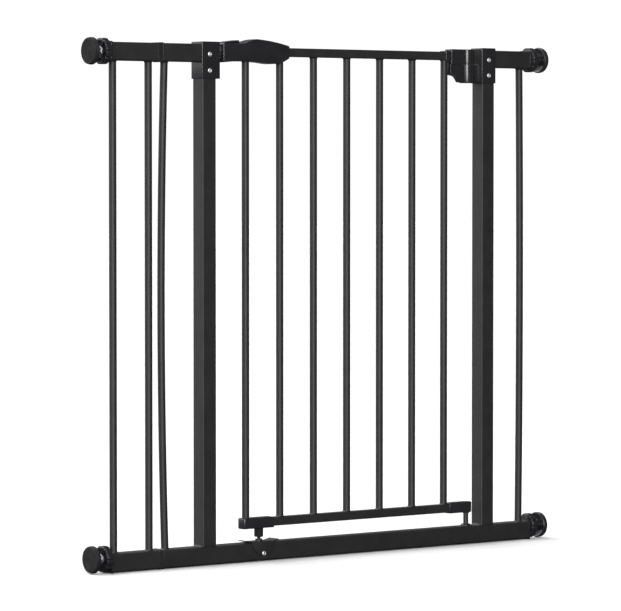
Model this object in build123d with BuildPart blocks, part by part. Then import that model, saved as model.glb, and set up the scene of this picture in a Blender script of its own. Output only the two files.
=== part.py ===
"""Pressure-fit safety gate with a lift-and-swing door and a bolted-on side extension.

Frame: +X to the right along the gate, +Y away from the room side, +Z up. The origin is on the
floor, midway between the two walls. Lengths are in millimetres.
"""

import os

from build123d import *

# ---- Overall ----
WALL_X = 425.0  # half of the width between the walls
RAIL_END_X = 391.0  # outer end of every rail, left and right

# ---- Rails and posts ----
RAIL_DEPTH = 25.0
RAIL_HEIGHT = 26.5
RAIL_CORNER = 2.5
STEEL_WALL = 1.2
FLANGE_PROUD = 1.2  # the end flanges stand this far outside the rails and carry the gate
BOTTOM_RAIL_Z = FLANGE_PROUD + RAIL_HEIGHT / 2
TOP_RAIL_Z = 747.75
POST = 25.0
LEFT_POST_X = -221.5
RIGHT_POST_X = 307.3
POST_TOP_Z = 762.0

# ---- Bars ----
BAR_D = 11.0
BAR_WALL = 1.0
LEFT_SIDE_BAR_X = -293.0
RIGHT_SIDE_BAR_X = 379.8
LEFT_BAR_BOW = 6.0  # the side bars bow outwards by this much at mid height
RIGHT_BAR_BOW = 2.2

# ---- Side extension ----
FRAME_LEFT_X = -302.5
COLLAR_W = 9.5
COLLAR_PROUD = 0.7
LIP = 1.0
SPIGOT_LENGTH = 18.0
SPIGOT_PLAY = 0.15
SPIGOT_CORNER = 1.0
EXTENSION_BARS_X = (-383.0, -321.0)

# ---- Door ----
DOOR_RAIL = 13.0  # square tube
DOOR_RAIL_CORNER = 1.5
DOOR_BOTTOM_Z = 56.7
DOOR_TOP_Z = 751.3
DOOR_BAR_COUNT = 7
DOOR_BAR_X = -147.6
DOOR_BAR_PITCH = 62.8
DOOR_RAIL_LEFT_X = -155.5
DOOR_RAIL_RIGHT_X = 256.0

# ---- Hinges ----
HINGE_X = 274.0
BARREL_R = 12.0
PIN_R = 3.95
PIN_BORE_R = 4.0
BARREL_SPLIT_Z = 738.9  # middle of the gap between the two upper barrels
BARREL_GAP = 0.6
LIFT = 8.0  # how far the door rises

# ---- Brackets ----
BRACKET_DEPTH = 28.0
BRACKET_TOP_Z = 764.5
BRACKET_BOTTOM_Z = 710.5
BRACKET_EDGE = 1.2
RIVET_Z = (722.2, 746.0)
RIVET_HOLE_R = 2.05
RIVET_SHANK_R = 2.0
RIVET_HEAD_R = 3.6
RIVET_HEAD_H = 1.3
RIVET_SHANK_L = 4.2
CAP_CHAMFER = 0.8  # round the top edges of the moulded caps
PIN_CHAMFER = 0.6

# ---- Foot and catch ----
FOOT_X = -123.7
CATCH_X = -124.0
FOOT_R = 6.7
FOOT_END_Z = 35.2
NOSE_R = 2.5
NOSE_END_Z = 29.6
SOCKET_R = 3.3
SOCKET_WALL = 2.0
SOCKET_TOP_Z = 32.4

# ---- Handle and lock ----
HANDLE_LEFT_X = -195.6
HANDLE_RIGHT_X = -74.4
HANDLE_HALF_DEPTH = 12.0
HANDLE_WALL = 2.2
HANDLE_EDGE = 1.2
TONGUE_END_X = -207.0

# ---- Clamping spindles ----
SPINDLE_RISE = 5.95  # the lower spindles sit this far above the rail's middle
WHEEL_R = 19.0
WHEEL_W = 10.5
WHEEL_GAP = 0.3
CAP_FLANGE = 3.5
PAD_R = 19.8
PAD_T = 12.0
RUBBER_T = 4.0
ROD_R = 4.0
ROD_BORE_R = 4.06
ROD_LENGTH = 82.0
ROD_CLEAR_R = 4.4
NUT_AF = 13.0
NUT_T = 6.5
NUT_PROUD = 0.5

# ---- Worked out from the above ----
RAIL_TOP_Z = BOTTOM_RAIL_Z + RAIL_HEIGHT / 2
STUB_BOTTOM_Z = TOP_RAIL_Z - RAIL_HEIGHT / 2
BAR_R = BAR_D / 2
HALF_POST = POST / 2
HALF_BRACKET = BRACKET_DEPTH / 2

os.makedirs("parts", exist_ok=True)


def save(piece, node):
    """Label a finished piece and write it as its own STEP file."""
    piece.label = node
    export_step(piece, f"parts/{node}.step")


# ---------------------------------------------------------------------------
# Tubes and bars
# ---------------------------------------------------------------------------


def square_tube_x(x_start, x_end, z_mid, depth, height, corner):
    """Hollow square tube along X."""
    with BuildPart() as tube:
        with BuildSketch(Plane.YZ.offset(x_start)):
            with Locations((0, z_mid)):
                RectangleRounded(depth, height, corner)
                RectangleRounded(
                    depth - 2 * STEEL_WALL, height - 2 * STEEL_WALL, corner / 2, mode=Mode.SUBTRACT
                )
        extrude(amount=x_end - x_start)
    return tube.part


def post(x_mid):
    """Hollow square post from the bottom rail up."""
    with BuildPart() as upright:
        with BuildSketch(Plane.XY.offset(RAIL_TOP_Z)):
            with Locations((x_mid, 0)):
                RectangleRounded(POST, POST, RAIL_CORNER)
                RectangleRounded(
                    POST - 2 * STEEL_WALL, POST - 2 * STEEL_WALL, RAIL_CORNER / 2, mode=Mode.SUBTRACT
                )
        extrude(amount=POST_TOP_Z - RAIL_TOP_Z)
        for z in RIVET_Z:
            with BuildSketch(Plane.XZ.offset(-POST)):
                with Locations((x_mid, z)):
                    Circle(RIVET_HOLE_R)
            extrude(amount=2 * POST, mode=Mode.SUBTRACT)
    return upright.part


def straight_bars(x_places, z_start, z_end):
    """Round tubes standing at each x, in one part."""
    with BuildPart() as bars:
        with BuildSketch(Plane.XY.offset(z_start)):
            with Locations(*[(x, 0) for x in x_places]):
                Circle(BAR_R)
                Circle(BAR_R - BAR_WALL, mode=Mode.SUBTRACT)
        extrude(amount=z_end - z_start)
    return bars.part


def bowed_bar(x_end, bow):
    """Round tube whose middle stands off by bow, cut flush with the rails."""
    z_start = RAIL_TOP_Z
    z_end = STUB_BOTTOM_Z
    over = 2.0  # swept past both rails, then cut back flush
    with BuildPart() as bar:
        with BuildLine() as path:
            ThreePointArc(
                (x_end, 0, z_start - over), (x_end + bow, 0, (z_start + z_end) / 2), (x_end, 0, z_end + over)
            )
        with BuildSketch(Plane(path.line @ 0, z_dir=path.line % 0)):
            Circle(BAR_R)
            Circle(BAR_R - BAR_WALL, mode=Mode.SUBTRACT)
        sweep()
        split(bisect_by=Plane.XY.offset(z_start), keep=Keep.TOP)
        split(bisect_by=Plane.XY.offset(z_end), keep=Keep.BOTTOM)
    return bar.part


EXTENSION_RIGHT_X = FRAME_LEFT_X - COLLAR_W
for side_node, z_rail in (("extension_top_rail", TOP_RAIL_Z), ("extension_bottom_rail", BOTTOM_RAIL_Z)):
    extension_rail = square_tube_x(
        -RAIL_END_X, EXTENSION_RIGHT_X, z_rail, RAIL_DEPTH, RAIL_HEIGHT, RAIL_CORNER
    )
    save(extension_rail, side_node)

left_stub = square_tube_x(
    FRAME_LEFT_X, LEFT_POST_X - HALF_POST, TOP_RAIL_Z, RAIL_DEPTH, RAIL_HEIGHT, RAIL_CORNER
)
save(left_stub, "top_rail_left")
right_stub = square_tube_x(
    RIGHT_POST_X + HALF_POST, RAIL_END_X, TOP_RAIL_Z, RAIL_DEPTH, RAIL_HEIGHT, RAIL_CORNER
)
save(right_stub, "top_rail_right")

save(post(LEFT_POST_X), "left_post")
save(post(RIGHT_POST_X), "right_post")
save(bowed_bar(LEFT_SIDE_BAR_X, -LEFT_BAR_BOW), "side_bar_left")
save(bowed_bar(RIGHT_SIDE_BAR_X, RIGHT_BAR_BOW), "side_bar_right")
save(straight_bars(EXTENSION_BARS_X, RAIL_TOP_Z, STUB_BOTTOM_Z), "extension_bars")

door_half = DOOR_RAIL / 2
for n in range(DOOR_BAR_COUNT):
    bar_x = DOOR_BAR_X + n * DOOR_BAR_PITCH
    save(
        straight_bars((bar_x,), DOOR_BOTTOM_Z + door_half, DOOR_TOP_Z - door_half), f"door_bar_{n + 1}"
    )

for rail_node, z_rail in (("door_top_rail", DOOR_TOP_Z), ("door_bottom_rail", DOOR_BOTTOM_Z)):
    door_rail = square_tube_x(
        DOOR_RAIL_LEFT_X, DOOR_RAIL_RIGHT_X, z_rail, DOOR_RAIL, DOOR_RAIL, DOOR_RAIL_CORNER
    )
    save(door_rail, rail_node)

# ---------------------------------------------------------------------------
# Bottom rail, with holes for the hinge bush and the catch's rivet
# ---------------------------------------------------------------------------

BUSH_BODY_R = 6.0
CATCH_RIVET_Z = 11.6
bottom_tube = square_tube_x(
    FRAME_LEFT_X, RAIL_END_X, BOTTOM_RAIL_Z, RAIL_DEPTH, RAIL_HEIGHT, RAIL_CORNER
)
with BuildPart() as bottom_rail:
    add(bottom_tube)
    with BuildSketch(Plane.XY.offset(BOTTOM_RAIL_Z)):
        with Locations((HINGE_X, 0)):
            Circle(BUSH_BODY_R)
    extrude(amount=RAIL_HEIGHT, mode=Mode.SUBTRACT)
    with BuildSketch(Plane.XZ.offset(-RAIL_DEPTH)):
        with Locations((CATCH_X, CATCH_RIVET_Z)):
            Circle(RIVET_HOLE_R)
    extrude(amount=2 * RAIL_DEPTH, mode=Mode.SUBTRACT)
save(bottom_rail.part, "bottom_rail")

# ---------------------------------------------------------------------------
# Joint plugs between the extension and the frame
# ---------------------------------------------------------------------------


def joint_plug(z_rail):
    """Moulded collar with a spigot into each tube."""
    spigot_depth = RAIL_DEPTH - 2 * (STEEL_WALL + SPIGOT_PLAY)
    spigot_height = RAIL_HEIGHT - 2 * (STEEL_WALL + SPIGOT_PLAY)
    with BuildPart() as plug:
        with BuildSketch(Plane.YZ.offset(EXTENSION_RIGHT_X)):
            with Locations((0, z_rail)):
                RectangleRounded(
                    RAIL_DEPTH + 2 * COLLAR_PROUD, RAIL_HEIGHT + 2 * COLLAR_PROUD, RAIL_CORNER
                )
        extrude(amount=COLLAR_W)
        with BuildSketch(Plane.YZ.offset(FRAME_LEFT_X - LIP)):
            with Locations((0, z_rail)):
                RectangleRounded(
                    RAIL_DEPTH + 2 * FLANGE_PROUD, RAIL_HEIGHT + 2 * FLANGE_PROUD, RAIL_CORNER
                )
        extrude(amount=LIP)
        with BuildSketch(Plane.YZ.offset(EXTENSION_RIGHT_X - SPIGOT_LENGTH)):
            with Locations((0, z_rail)):
                RectangleRounded(spigot_depth, spigot_height, SPIGOT_CORNER)
        extrude(amount=COLLAR_W + 2 * SPIGOT_LENGTH)
    return plug.part


save(joint_plug(TOP_RAIL_Z), "extension_plug_top")
save(joint_plug(BOTTOM_RAIL_Z), "extension_plug_bottom")

# ---------------------------------------------------------------------------
# Latch bracket: cap round the top of the left post, with a pocket for the lock tongue
# ---------------------------------------------------------------------------

LATCH_LEFT_X = -235.3
LATCH_RIGHT_X = -203.0
TONGUE_Z = 747.0
TONGUE_T = 8.0
TONGUE_W = 10.0
POCKET_PLAY = 1.0
POCKET_FRONT_WALL = 1.8
bracket_height = BRACKET_TOP_Z - BRACKET_BOTTOM_Z
cap_roof = BRACKET_TOP_Z - POST_TOP_Z
pocket_bottom = TONGUE_Z - TONGUE_T / 2 - POCKET_PLAY
pocket_height = TONGUE_T + LIFT + 2 * POCKET_PLAY

with BuildPart() as latch_bracket:
    with BuildSketch(Plane.XY.offset(BRACKET_BOTTOM_Z)):
        with Locations(((LATCH_LEFT_X + LATCH_RIGHT_X) / 2, 0)):
            Rectangle(LATCH_RIGHT_X - LATCH_LEFT_X, BRACKET_DEPTH)
    extrude(amount=bracket_height)
    fillet(latch_bracket.edges().filter_by(Axis.Z), BRACKET_EDGE)
    chamfer(latch_bracket.faces().sort_by(Axis.Z)[-1].edges(), CAP_CHAMFER)
    with BuildSketch(Plane.XY.offset(BRACKET_BOTTOM_Z)):
        with Locations((LEFT_POST_X, 0)):
            RectangleRounded(POST, POST, RAIL_CORNER)
    extrude(amount=bracket_height - cap_roof, mode=Mode.SUBTRACT)
    with BuildSketch(Plane.YZ.offset(LATCH_LEFT_X - 1)):
        with Locations((0, TOP_RAIL_Z)):
            RectangleRounded(RAIL_DEPTH, RAIL_HEIGHT, RAIL_CORNER)
    extrude(amount=LEFT_POST_X - LATCH_LEFT_X, mode=Mode.SUBTRACT)
    with Locations((LATCH_RIGHT_X, -HALF_BRACKET + POCKET_FRONT_WALL, pocket_bottom)):
        Box(
            2 * (LATCH_RIGHT_X - LEFT_POST_X - HALF_POST), BRACKET_DEPTH, pocket_height,
            align=(Align.CENTER, Align.MIN, Align.MIN), mode=Mode.SUBTRACT,
        )
    for z in RIVET_Z:
        with BuildSketch(Plane.XZ.offset(-BRACKET_DEPTH)):
            with Locations((LEFT_POST_X, z)):
                Circle(RIVET_HOLE_R)
        extrude(amount=2 * BRACKET_DEPTH, mode=Mode.SUBTRACT)
save(latch_bracket.part, "latch_bracket")

# ---------------------------------------------------------------------------
# Hinge bracket: cap round the top of the right post, with the lower barrel
# ---------------------------------------------------------------------------

HINGE_BRACKET_WALL = 1.3
ARM_W = 15.0
PIN_BOTTOM_Z = 720.0
PIN_TOP_Z = 757.0
lower_barrel_top = BARREL_SPLIT_Z - BARREL_GAP / 2
hinge_left_x = RIGHT_POST_X - HALF_POST - HINGE_BRACKET_WALL
hinge_right_x = RIGHT_POST_X + HALF_POST + HINGE_BRACKET_WALL

with BuildPart() as hinge_bracket:
    with BuildSketch(Plane.XY.offset(BRACKET_BOTTOM_Z)):
        with Locations((RIGHT_POST_X, 0)):
            Rectangle(hinge_right_x - hinge_left_x, BRACKET_DEPTH)
    extrude(amount=bracket_height)
    fillet(hinge_bracket.edges().filter_by(Axis.Z), BRACKET_EDGE)
    chamfer(hinge_bracket.faces().sort_by(Axis.Z)[-1].edges(), CAP_CHAMFER)
    with BuildSketch(Plane.XY.offset(BRACKET_BOTTOM_Z)):
        with Locations((HINGE_X, 0)):
            Circle(BARREL_R)
        with Locations(((HINGE_X + RIGHT_POST_X) / 2, 0)):
            Rectangle(RIGHT_POST_X - HINGE_X, ARM_W)
    extrude(amount=lower_barrel_top - BRACKET_BOTTOM_Z)
    with BuildSketch(Plane.XY.offset(BRACKET_BOTTOM_Z)):
        with Locations((RIGHT_POST_X, 0)):
            RectangleRounded(POST, POST, RAIL_CORNER)
    extrude(amount=bracket_height - cap_roof, mode=Mode.SUBTRACT)
    with BuildSketch(Plane.YZ.offset(RIGHT_POST_X)):
        with Locations((0, TOP_RAIL_Z)):
            RectangleRounded(RAIL_DEPTH, RAIL_HEIGHT, RAIL_CORNER)
    extrude(amount=POST, mode=Mode.SUBTRACT)
    with BuildSketch(Plane.XY.offset(PIN_BOTTOM_Z)):
        with Locations((HINGE_X, 0)):
            Circle(PIN_BORE_R)
    extrude(amount=lower_barrel_top - PIN_BOTTOM_Z, mode=Mode.SUBTRACT)
    for z in RIVET_Z:
        with BuildSketch(Plane.XZ.offset(-BRACKET_DEPTH)):
            with Locations((RIGHT_POST_X, z)):
                Circle(RIVET_HOLE_R)
        extrude(amount=2 * BRACKET_DEPTH, mode=Mode.SUBTRACT)
save(hinge_bracket.part, "hinge_bracket")

with BuildPart() as upper_pin:
    with BuildSketch(Plane.XY.offset(PIN_BOTTOM_Z)):
        with Locations((HINGE_X, 0)):
            Circle(PIN_R)
    extrude(amount=PIN_TOP_Z - PIN_BOTTOM_Z)
    chamfer(upper_pin.edges().sort_by(Axis.Z)[-1], PIN_CHAMFER)
save(upper_pin.part, "upper_hinge_pin")

# ---------------------------------------------------------------------------
# Catch plate on the bottom rail
# ---------------------------------------------------------------------------

PLATE_T = 1.2
PLATE_HALF_LENGTH = 29.0
PLATE_FLAT = 19.0  # half of the flat middle, before the ends turn up
PLATE_TIP_RISE = 2.6
PLATE_DEPTH = 24.0
APRON_R = 20.5
APRON_T = 1.7
apron_y = RAIL_DEPTH / 2

with BuildPart() as catch_plate:
    with BuildSketch(Plane.XZ.offset(-PLATE_DEPTH / 2)):
        with BuildLine():
            Polyline(
                (CATCH_X - PLATE_HALF_LENGTH, RAIL_TOP_Z + PLATE_TIP_RISE),
                (CATCH_X - PLATE_FLAT, RAIL_TOP_Z),
                (CATCH_X + PLATE_FLAT, RAIL_TOP_Z),
                (CATCH_X + PLATE_HALF_LENGTH, RAIL_TOP_Z + PLATE_TIP_RISE),
                (CATCH_X + PLATE_HALF_LENGTH, RAIL_TOP_Z + PLATE_TIP_RISE + PLATE_T),
                (CATCH_X + PLATE_FLAT, RAIL_TOP_Z + PLATE_T),
                (CATCH_X - PLATE_FLAT, RAIL_TOP_Z + PLATE_T),
                (CATCH_X - PLATE_HALF_LENGTH, RAIL_TOP_Z + PLATE_TIP_RISE + PLATE_T),
                close=True,
            )
        make_face()
    extrude(amount=PLATE_DEPTH)
    with BuildSketch(Plane.XZ.offset(apron_y)):
        with Locations((CATCH_X, RAIL_TOP_Z + PLATE_T)):
            Circle(APRON_R)
            Rectangle(
                2 * APRON_R, APRON_R, align=(Align.CENTER, Align.MIN), mode=Mode.SUBTRACT
            )
    extrude(amount=APRON_T)
    with Locations((CATCH_X, -apron_y, RAIL_TOP_Z)):
        Box(2 * PLATE_FLAT, 2 * APRON_T, PLATE_T, align=(Align.CENTER, Align.CENTER, Align.MIN))
    with BuildSketch(Plane.XY.offset(RAIL_TOP_Z)):
        with Locations((FOOT_X, 0)):
            Circle(SOCKET_R + SOCKET_WALL)
    extrude(amount=SOCKET_TOP_Z - RAIL_TOP_Z)
    with BuildSketch(Plane.XY.offset(RAIL_TOP_Z + PLATE_T)):
        with Locations((FOOT_X, 0)):
            Circle(SOCKET_R)
        with Locations((FOOT_X, RAIL_DEPTH / 2)):
            Rectangle(2 * SOCKET_R, RAIL_DEPTH)
    extrude(amount=RAIL_HEIGHT, mode=Mode.SUBTRACT)
    with BuildSketch(Plane.XZ):
        with Locations((CATCH_X, CATCH_RIVET_Z)):
            Circle(RIVET_HOLE_R)
    extrude(amount=RAIL_DEPTH, mode=Mode.SUBTRACT)
save(catch_plate.part, "catch_plate")

# ---------------------------------------------------------------------------
# Rivets: dimpled head outside, short shank through the wall
# ---------------------------------------------------------------------------

DIMPLE_R = 1.5
DIMPLE_DEPTH = 0.6
HEAD_EDGE = 0.5

with BuildPart() as rivet:
    with BuildSketch(Plane.XZ):
        with BuildLine():
            Polyline(
                (0, -RIVET_SHANK_L),
                (RIVET_SHANK_R, -RIVET_SHANK_L),
                (RIVET_SHANK_R, 0),
                (RIVET_HEAD_R, 0),
                (RIVET_HEAD_R, HEAD_EDGE),
                (DIMPLE_R + HEAD_EDGE, RIVET_HEAD_H),
                (DIMPLE_R, RIVET_HEAD_H),
                (DIMPLE_R, RIVET_HEAD_H - DIMPLE_DEPTH),
                (0, RIVET_HEAD_H - DIMPLE_DEPTH),
                close=True,
            )
        make_face()
    revolve(axis=Axis.Z)

rivet_places = [(CATCH_X, -apron_y - APRON_T, CATCH_RIVET_Z)]
for x in (LEFT_POST_X, RIGHT_POST_X):
    for z in RIVET_Z:
        rivet_places += [(x, -HALF_BRACKET, z), (x, HALF_BRACKET, z)]
with BuildPart() as rivets:
    for x, y, z in rivet_places:
        with Locations(Plane(origin=(x, y, z), x_dir=(1, 0, 0), z_dir=(0, y, 0)).location):
            add(rivet.part)
save(rivets.part, "rivets")

# ---------------------------------------------------------------------------
# Lower hinge: flanged bush in the rail, and the pin that rises in it
# ---------------------------------------------------------------------------

BUSH_FLANGE_R = 8.5
BUSH_FLANGE_H = 2.9
BUSH_BOTTOM_Z = 4.0
BUSH_FLOOR_Z = 6.5
LOWER_PIN_BOTTOM_Z = 6.8
LOWER_PIN_TOP_Z = 59.5
LOWER_CAP_BOTTOM_Z = 48.8
RING_R = 5.5
RING_H = 1.5
RING_GAP = 0.1
BUSH_CHAMFER = 1.6

with BuildPart() as bush:
    with BuildSketch(Plane.XY.offset(BUSH_BOTTOM_Z)):
        with Locations((HINGE_X, 0)):
            Circle(BUSH_BODY_R)
    extrude(amount=RAIL_TOP_Z - BUSH_BOTTOM_Z)
    with BuildSketch(Plane.XY.offset(RAIL_TOP_Z)):
        with Locations((HINGE_X, 0)):
            Circle(BUSH_FLANGE_R)
    extrude(amount=BUSH_FLANGE_H)
    chamfer(bush.edges().sort_by(Axis.Z)[-1], BUSH_CHAMFER)
    with BuildSketch(Plane.XY.offset(BUSH_FLOOR_Z)):
        with Locations((HINGE_X, 0)):
            Circle(PIN_BORE_R)
    extrude(amount=RAIL_HEIGHT, mode=Mode.SUBTRACT)
save(bush.part, "hinge_bush")

ring_top = LOWER_CAP_BOTTOM_Z - RING_GAP
with BuildPart() as lower_pin:
    with BuildSketch(Plane.XY.offset(LOWER_PIN_BOTTOM_Z)):
        with Locations((HINGE_X, 0)):
            Circle(PIN_R)
    extrude(amount=LOWER_PIN_TOP_Z - LOWER_PIN_BOTTOM_Z)
    chamfer(lower_pin.edges().sort_by(Axis.Z)[-1], PIN_CHAMFER)
    with BuildSketch(Plane.XY.offset(ring_top - RING_H)):
        with Locations((HINGE_X, 0)):
            Circle(RING_R)
    extrude(amount=RING_H)
save(lower_pin.part, "lower_hinge_pin")

# ---------------------------------------------------------------------------
# Upper hinge cap: sleeve on the door's top rail, barrel, and skirt beside the lower barrel
# ---------------------------------------------------------------------------

UPPER_SLEEVE_X = 227.0
UPPER_BODY_X = 236.8
UPPER_CAP_TOP_Z = 762.0
SLEEVE_WALL = 1.6
BODY_DEPTH = 17.0
SKIRT_DEPTH = 14.0
SKIRT_TOP_Z = 741.0
SKIRT_LEFT_Z = 723.0
SKIRT_BOTTOM_Z = 711.5
SKIRT_BOTTOM_X = 256.0
SKIRT_CURVE = (249.0, 718.5)
SKIRT_CLEAR_R = 12.6
BAR_CLEAR_R = BAR_R + 0.2
PIN_END_ROOM = 1.0
upper_barrel_bottom = BARREL_SPLIT_Z + BARREL_GAP / 2
sleeve_depth = DOOR_RAIL + 2 * SLEEVE_WALL

with BuildPart() as upper_hinge_cap:
    with BuildSketch(Plane.XY.offset(upper_barrel_bottom)):
        with Locations((HINGE_X, 0)):
            Circle(BARREL_R)
        with Locations(((UPPER_BODY_X + HINGE_X) / 2, 0)):
            Rectangle(HINGE_X - UPPER_BODY_X, BODY_DEPTH)
    extrude(amount=UPPER_CAP_TOP_Z - upper_barrel_bottom)
    chamfer(upper_hinge_cap.faces().sort_by(Axis.Z)[-1].edges(), CAP_CHAMFER)
    with BuildSketch(Plane.YZ.offset(UPPER_SLEEVE_X)):
        with Locations((0, DOOR_TOP_Z)):
            RectangleRounded(sleeve_depth, sleeve_depth, DOOR_RAIL_CORNER)
    extrude(amount=UPPER_BODY_X - UPPER_SLEEVE_X)
    with BuildSketch(Plane.XZ.offset(-SKIRT_DEPTH / 2)):
        with BuildLine():
            Polyline(
                (UPPER_BODY_X, SKIRT_LEFT_Z),
                (UPPER_BODY_X, SKIRT_TOP_Z),
                (HINGE_X, SKIRT_TOP_Z),
                (HINGE_X, SKIRT_BOTTOM_Z),
                (SKIRT_BOTTOM_X, SKIRT_BOTTOM_Z),
            )
            ThreePointArc((SKIRT_BOTTOM_X, SKIRT_BOTTOM_Z), SKIRT_CURVE, (UPPER_BODY_X, SKIRT_LEFT_Z))
        make_face()
    extrude(amount=SKIRT_DEPTH)
    with BuildSketch(Plane.XY.offset(BRACKET_BOTTOM_Z)):
        with Locations((HINGE_X, 0)):
            Circle(SKIRT_CLEAR_R)
    extrude(amount=upper_barrel_bottom - BRACKET_BOTTOM_Z, mode=Mode.SUBTRACT)
    with BuildSketch(Plane.YZ.offset(UPPER_SLEEVE_X)):
        with Locations((0, DOOR_TOP_Z)):
            RectangleRounded(DOOR_RAIL, DOOR_RAIL, DOOR_RAIL_CORNER)
    extrude(amount=DOOR_RAIL_RIGHT_X - UPPER_SLEEVE_X, mode=Mode.SUBTRACT)
    with BuildSketch(Plane.XY.offset(BRACKET_BOTTOM_Z)):
        with Locations((DOOR_BAR_X + (DOOR_BAR_COUNT - 1) * DOOR_BAR_PITCH, 0)):
            Circle(BAR_CLEAR_R)
    extrude(amount=DOOR_TOP_Z - BRACKET_BOTTOM_Z, mode=Mode.SUBTRACT)
    with BuildSketch(Plane.XY.offset(upper_barrel_bottom)):
        with Locations((HINGE_X, 0)):
            Circle(PIN_BORE_R)
    extrude(amount=PIN_TOP_Z + PIN_END_ROOM - upper_barrel_bottom, mode=Mode.SUBTRACT)
save(upper_hinge_cap.part, "upper_hinge_cap")

# ---------------------------------------------------------------------------
# Lower hinge cap
# ---------------------------------------------------------------------------

LOWER_CAP_X = 235.0
LOWER_CAP_TOP_Z = 65.0
LOWER_CAP_DEPTH = 17.0
LOWER_PIN_ROOM = 0.5

with BuildPart() as lower_hinge_cap:
    with BuildSketch(Plane.XY.offset(LOWER_CAP_BOTTOM_Z)):
        with Locations((HINGE_X, 0)):
            Circle(LOWER_CAP_DEPTH / 2)
        with Locations(((LOWER_CAP_X + HINGE_X) / 2, 0)):
            Rectangle(HINGE_X - LOWER_CAP_X, LOWER_CAP_DEPTH)
    extrude(amount=LOWER_CAP_TOP_Z - LOWER_CAP_BOTTOM_Z)
    chamfer(lower_hinge_cap.faces().sort_by(Axis.Z)[-1].edges(), CAP_CHAMFER)
    chamfer(lower_hinge_cap.faces().sort_by(Axis.Z)[0].edges(), CAP_CHAMFER)
    with BuildSketch(Plane.YZ.offset(LOWER_CAP_X)):
        with Locations((0, DOOR_BOTTOM_Z)):
            RectangleRounded(DOOR_RAIL, DOOR_RAIL, DOOR_RAIL_CORNER)
    extrude(amount=DOOR_RAIL_RIGHT_X - LOWER_CAP_X, mode=Mode.SUBTRACT)
    with BuildSketch(Plane.XY.offset(LOWER_CAP_BOTTOM_Z)):
        with Locations((HINGE_X, 0)):
            Circle(PIN_BORE_R)
    extrude(amount=LOWER_PIN_TOP_Z + LOWER_PIN_ROOM - LOWER_CAP_BOTTOM_Z, mode=Mode.SUBTRACT)
save(lower_hinge_cap.part, "lower_hinge_cap")

# ---------------------------------------------------------------------------
# Latch foot: sleeve on the bottom rail's free end, round spigot and nose
# ---------------------------------------------------------------------------

FOOT_LEFT_X = -157.0
FOOT_RIGHT_X = -101.0
FOOT_BOTTOM_Z = 48.4
FOOT_TOP_Z = 64.2
FOOT_DEPTH = 17.0
FOOT_CORNER = 4.0
FOOT_CHAMFER = 0.6
SPIGOT_END_CHAMFER = 0.8

with BuildPart() as latch_foot:
    with BuildSketch(Plane.XY.offset(FOOT_BOTTOM_Z)):
        with Locations(((FOOT_LEFT_X + FOOT_RIGHT_X) / 2, 0)):
            Rectangle(FOOT_RIGHT_X - FOOT_LEFT_X, FOOT_DEPTH)
    extrude(amount=FOOT_TOP_Z - FOOT_BOTTOM_Z)
    fillet(latch_foot.edges().filter_by(Axis.Z).group_by(Axis.X)[0], FOOT_CORNER)
    chamfer(latch_foot.faces().sort_by(Axis.Z)[-1].edges(), FOOT_CHAMFER)
    with BuildSketch(Plane.XY.offset(FOOT_END_Z)):
        with Locations((FOOT_X, 0)):
            Circle(FOOT_R)
    extrude(amount=FOOT_BOTTOM_Z - FOOT_END_Z)
    chamfer(latch_foot.edges().sort_by(Axis.Z)[0], SPIGOT_END_CHAMFER)
    with BuildSketch(Plane.XY.offset(NOSE_END_Z)):
        with Locations((FOOT_X, 0)):
            Circle(NOSE_R)
    extrude(amount=FOOT_END_Z - NOSE_END_Z)
    with BuildSketch(Plane.YZ.offset(DOOR_RAIL_LEFT_X)):
        with Locations((0, DOOR_BOTTOM_Z)):
            RectangleRounded(DOOR_RAIL, DOOR_RAIL, DOOR_RAIL_CORNER)
    extrude(amount=FOOT_RIGHT_X - DOOR_RAIL_LEFT_X, mode=Mode.SUBTRACT)
    with BuildSketch(Plane.XY.offset(DOOR_BOTTOM_Z)):
        with Locations((DOOR_BAR_X, 0)):
            Circle(BAR_CLEAR_R)
    extrude(amount=DOOR_RAIL, mode=Mode.SUBTRACT)
save(latch_foot.part, "latch_foot")

# ---------------------------------------------------------------------------
# Handle: two moulded shells that meet on the plane y = 0
# ---------------------------------------------------------------------------

HANDLE_TIP_TOP_Z = 760.4
HANDLE_TIP_BOTTOM_Z = 742.6
BLOCK_TOP_Z = 763.0
BLOCK_BOTTOM_Z = 734.5
DOME_LEFT_X = -166.0
DOME_TOP = (-128.0, 769.9)
BELLY_RISE = (-150.0, 736.9)
BELLY_LOW = (-110.0, 734.0)
SLOT_HALF_W = 6.0
SLOT_LEFT_X = -190.5
SLOT_RIGHT_X = -152.0
THUMB_HALF_W = 8.0
THUMB_RECESS = 8.4
RECESS_RIGHT_X = -151.0
SCREW_PLACES = ((-187.5, 738.8), (-118.0, 762.0), (-100.0, 740.0))
SCREW_R = 1.5
SCREW_HEAD_R = 2.8
SCREW_BOSS_R = 3.2
SCREW_HEAD_Y = 9.0
SCREW_HEAD_H = 2.0
SCREW_HEAD_PLAY = 0.1
SCREW_FLOOR = 0.8  # thickness left under the cross in a screw's head
CROSS_L = 3.2
CROSS_W = 0.8
SCREW_TIP_Y = -8.0
BOSS_FACE = 1.0  # a boss stops this far inside the outer face
TONGUE_PLAY = 0.4


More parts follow.
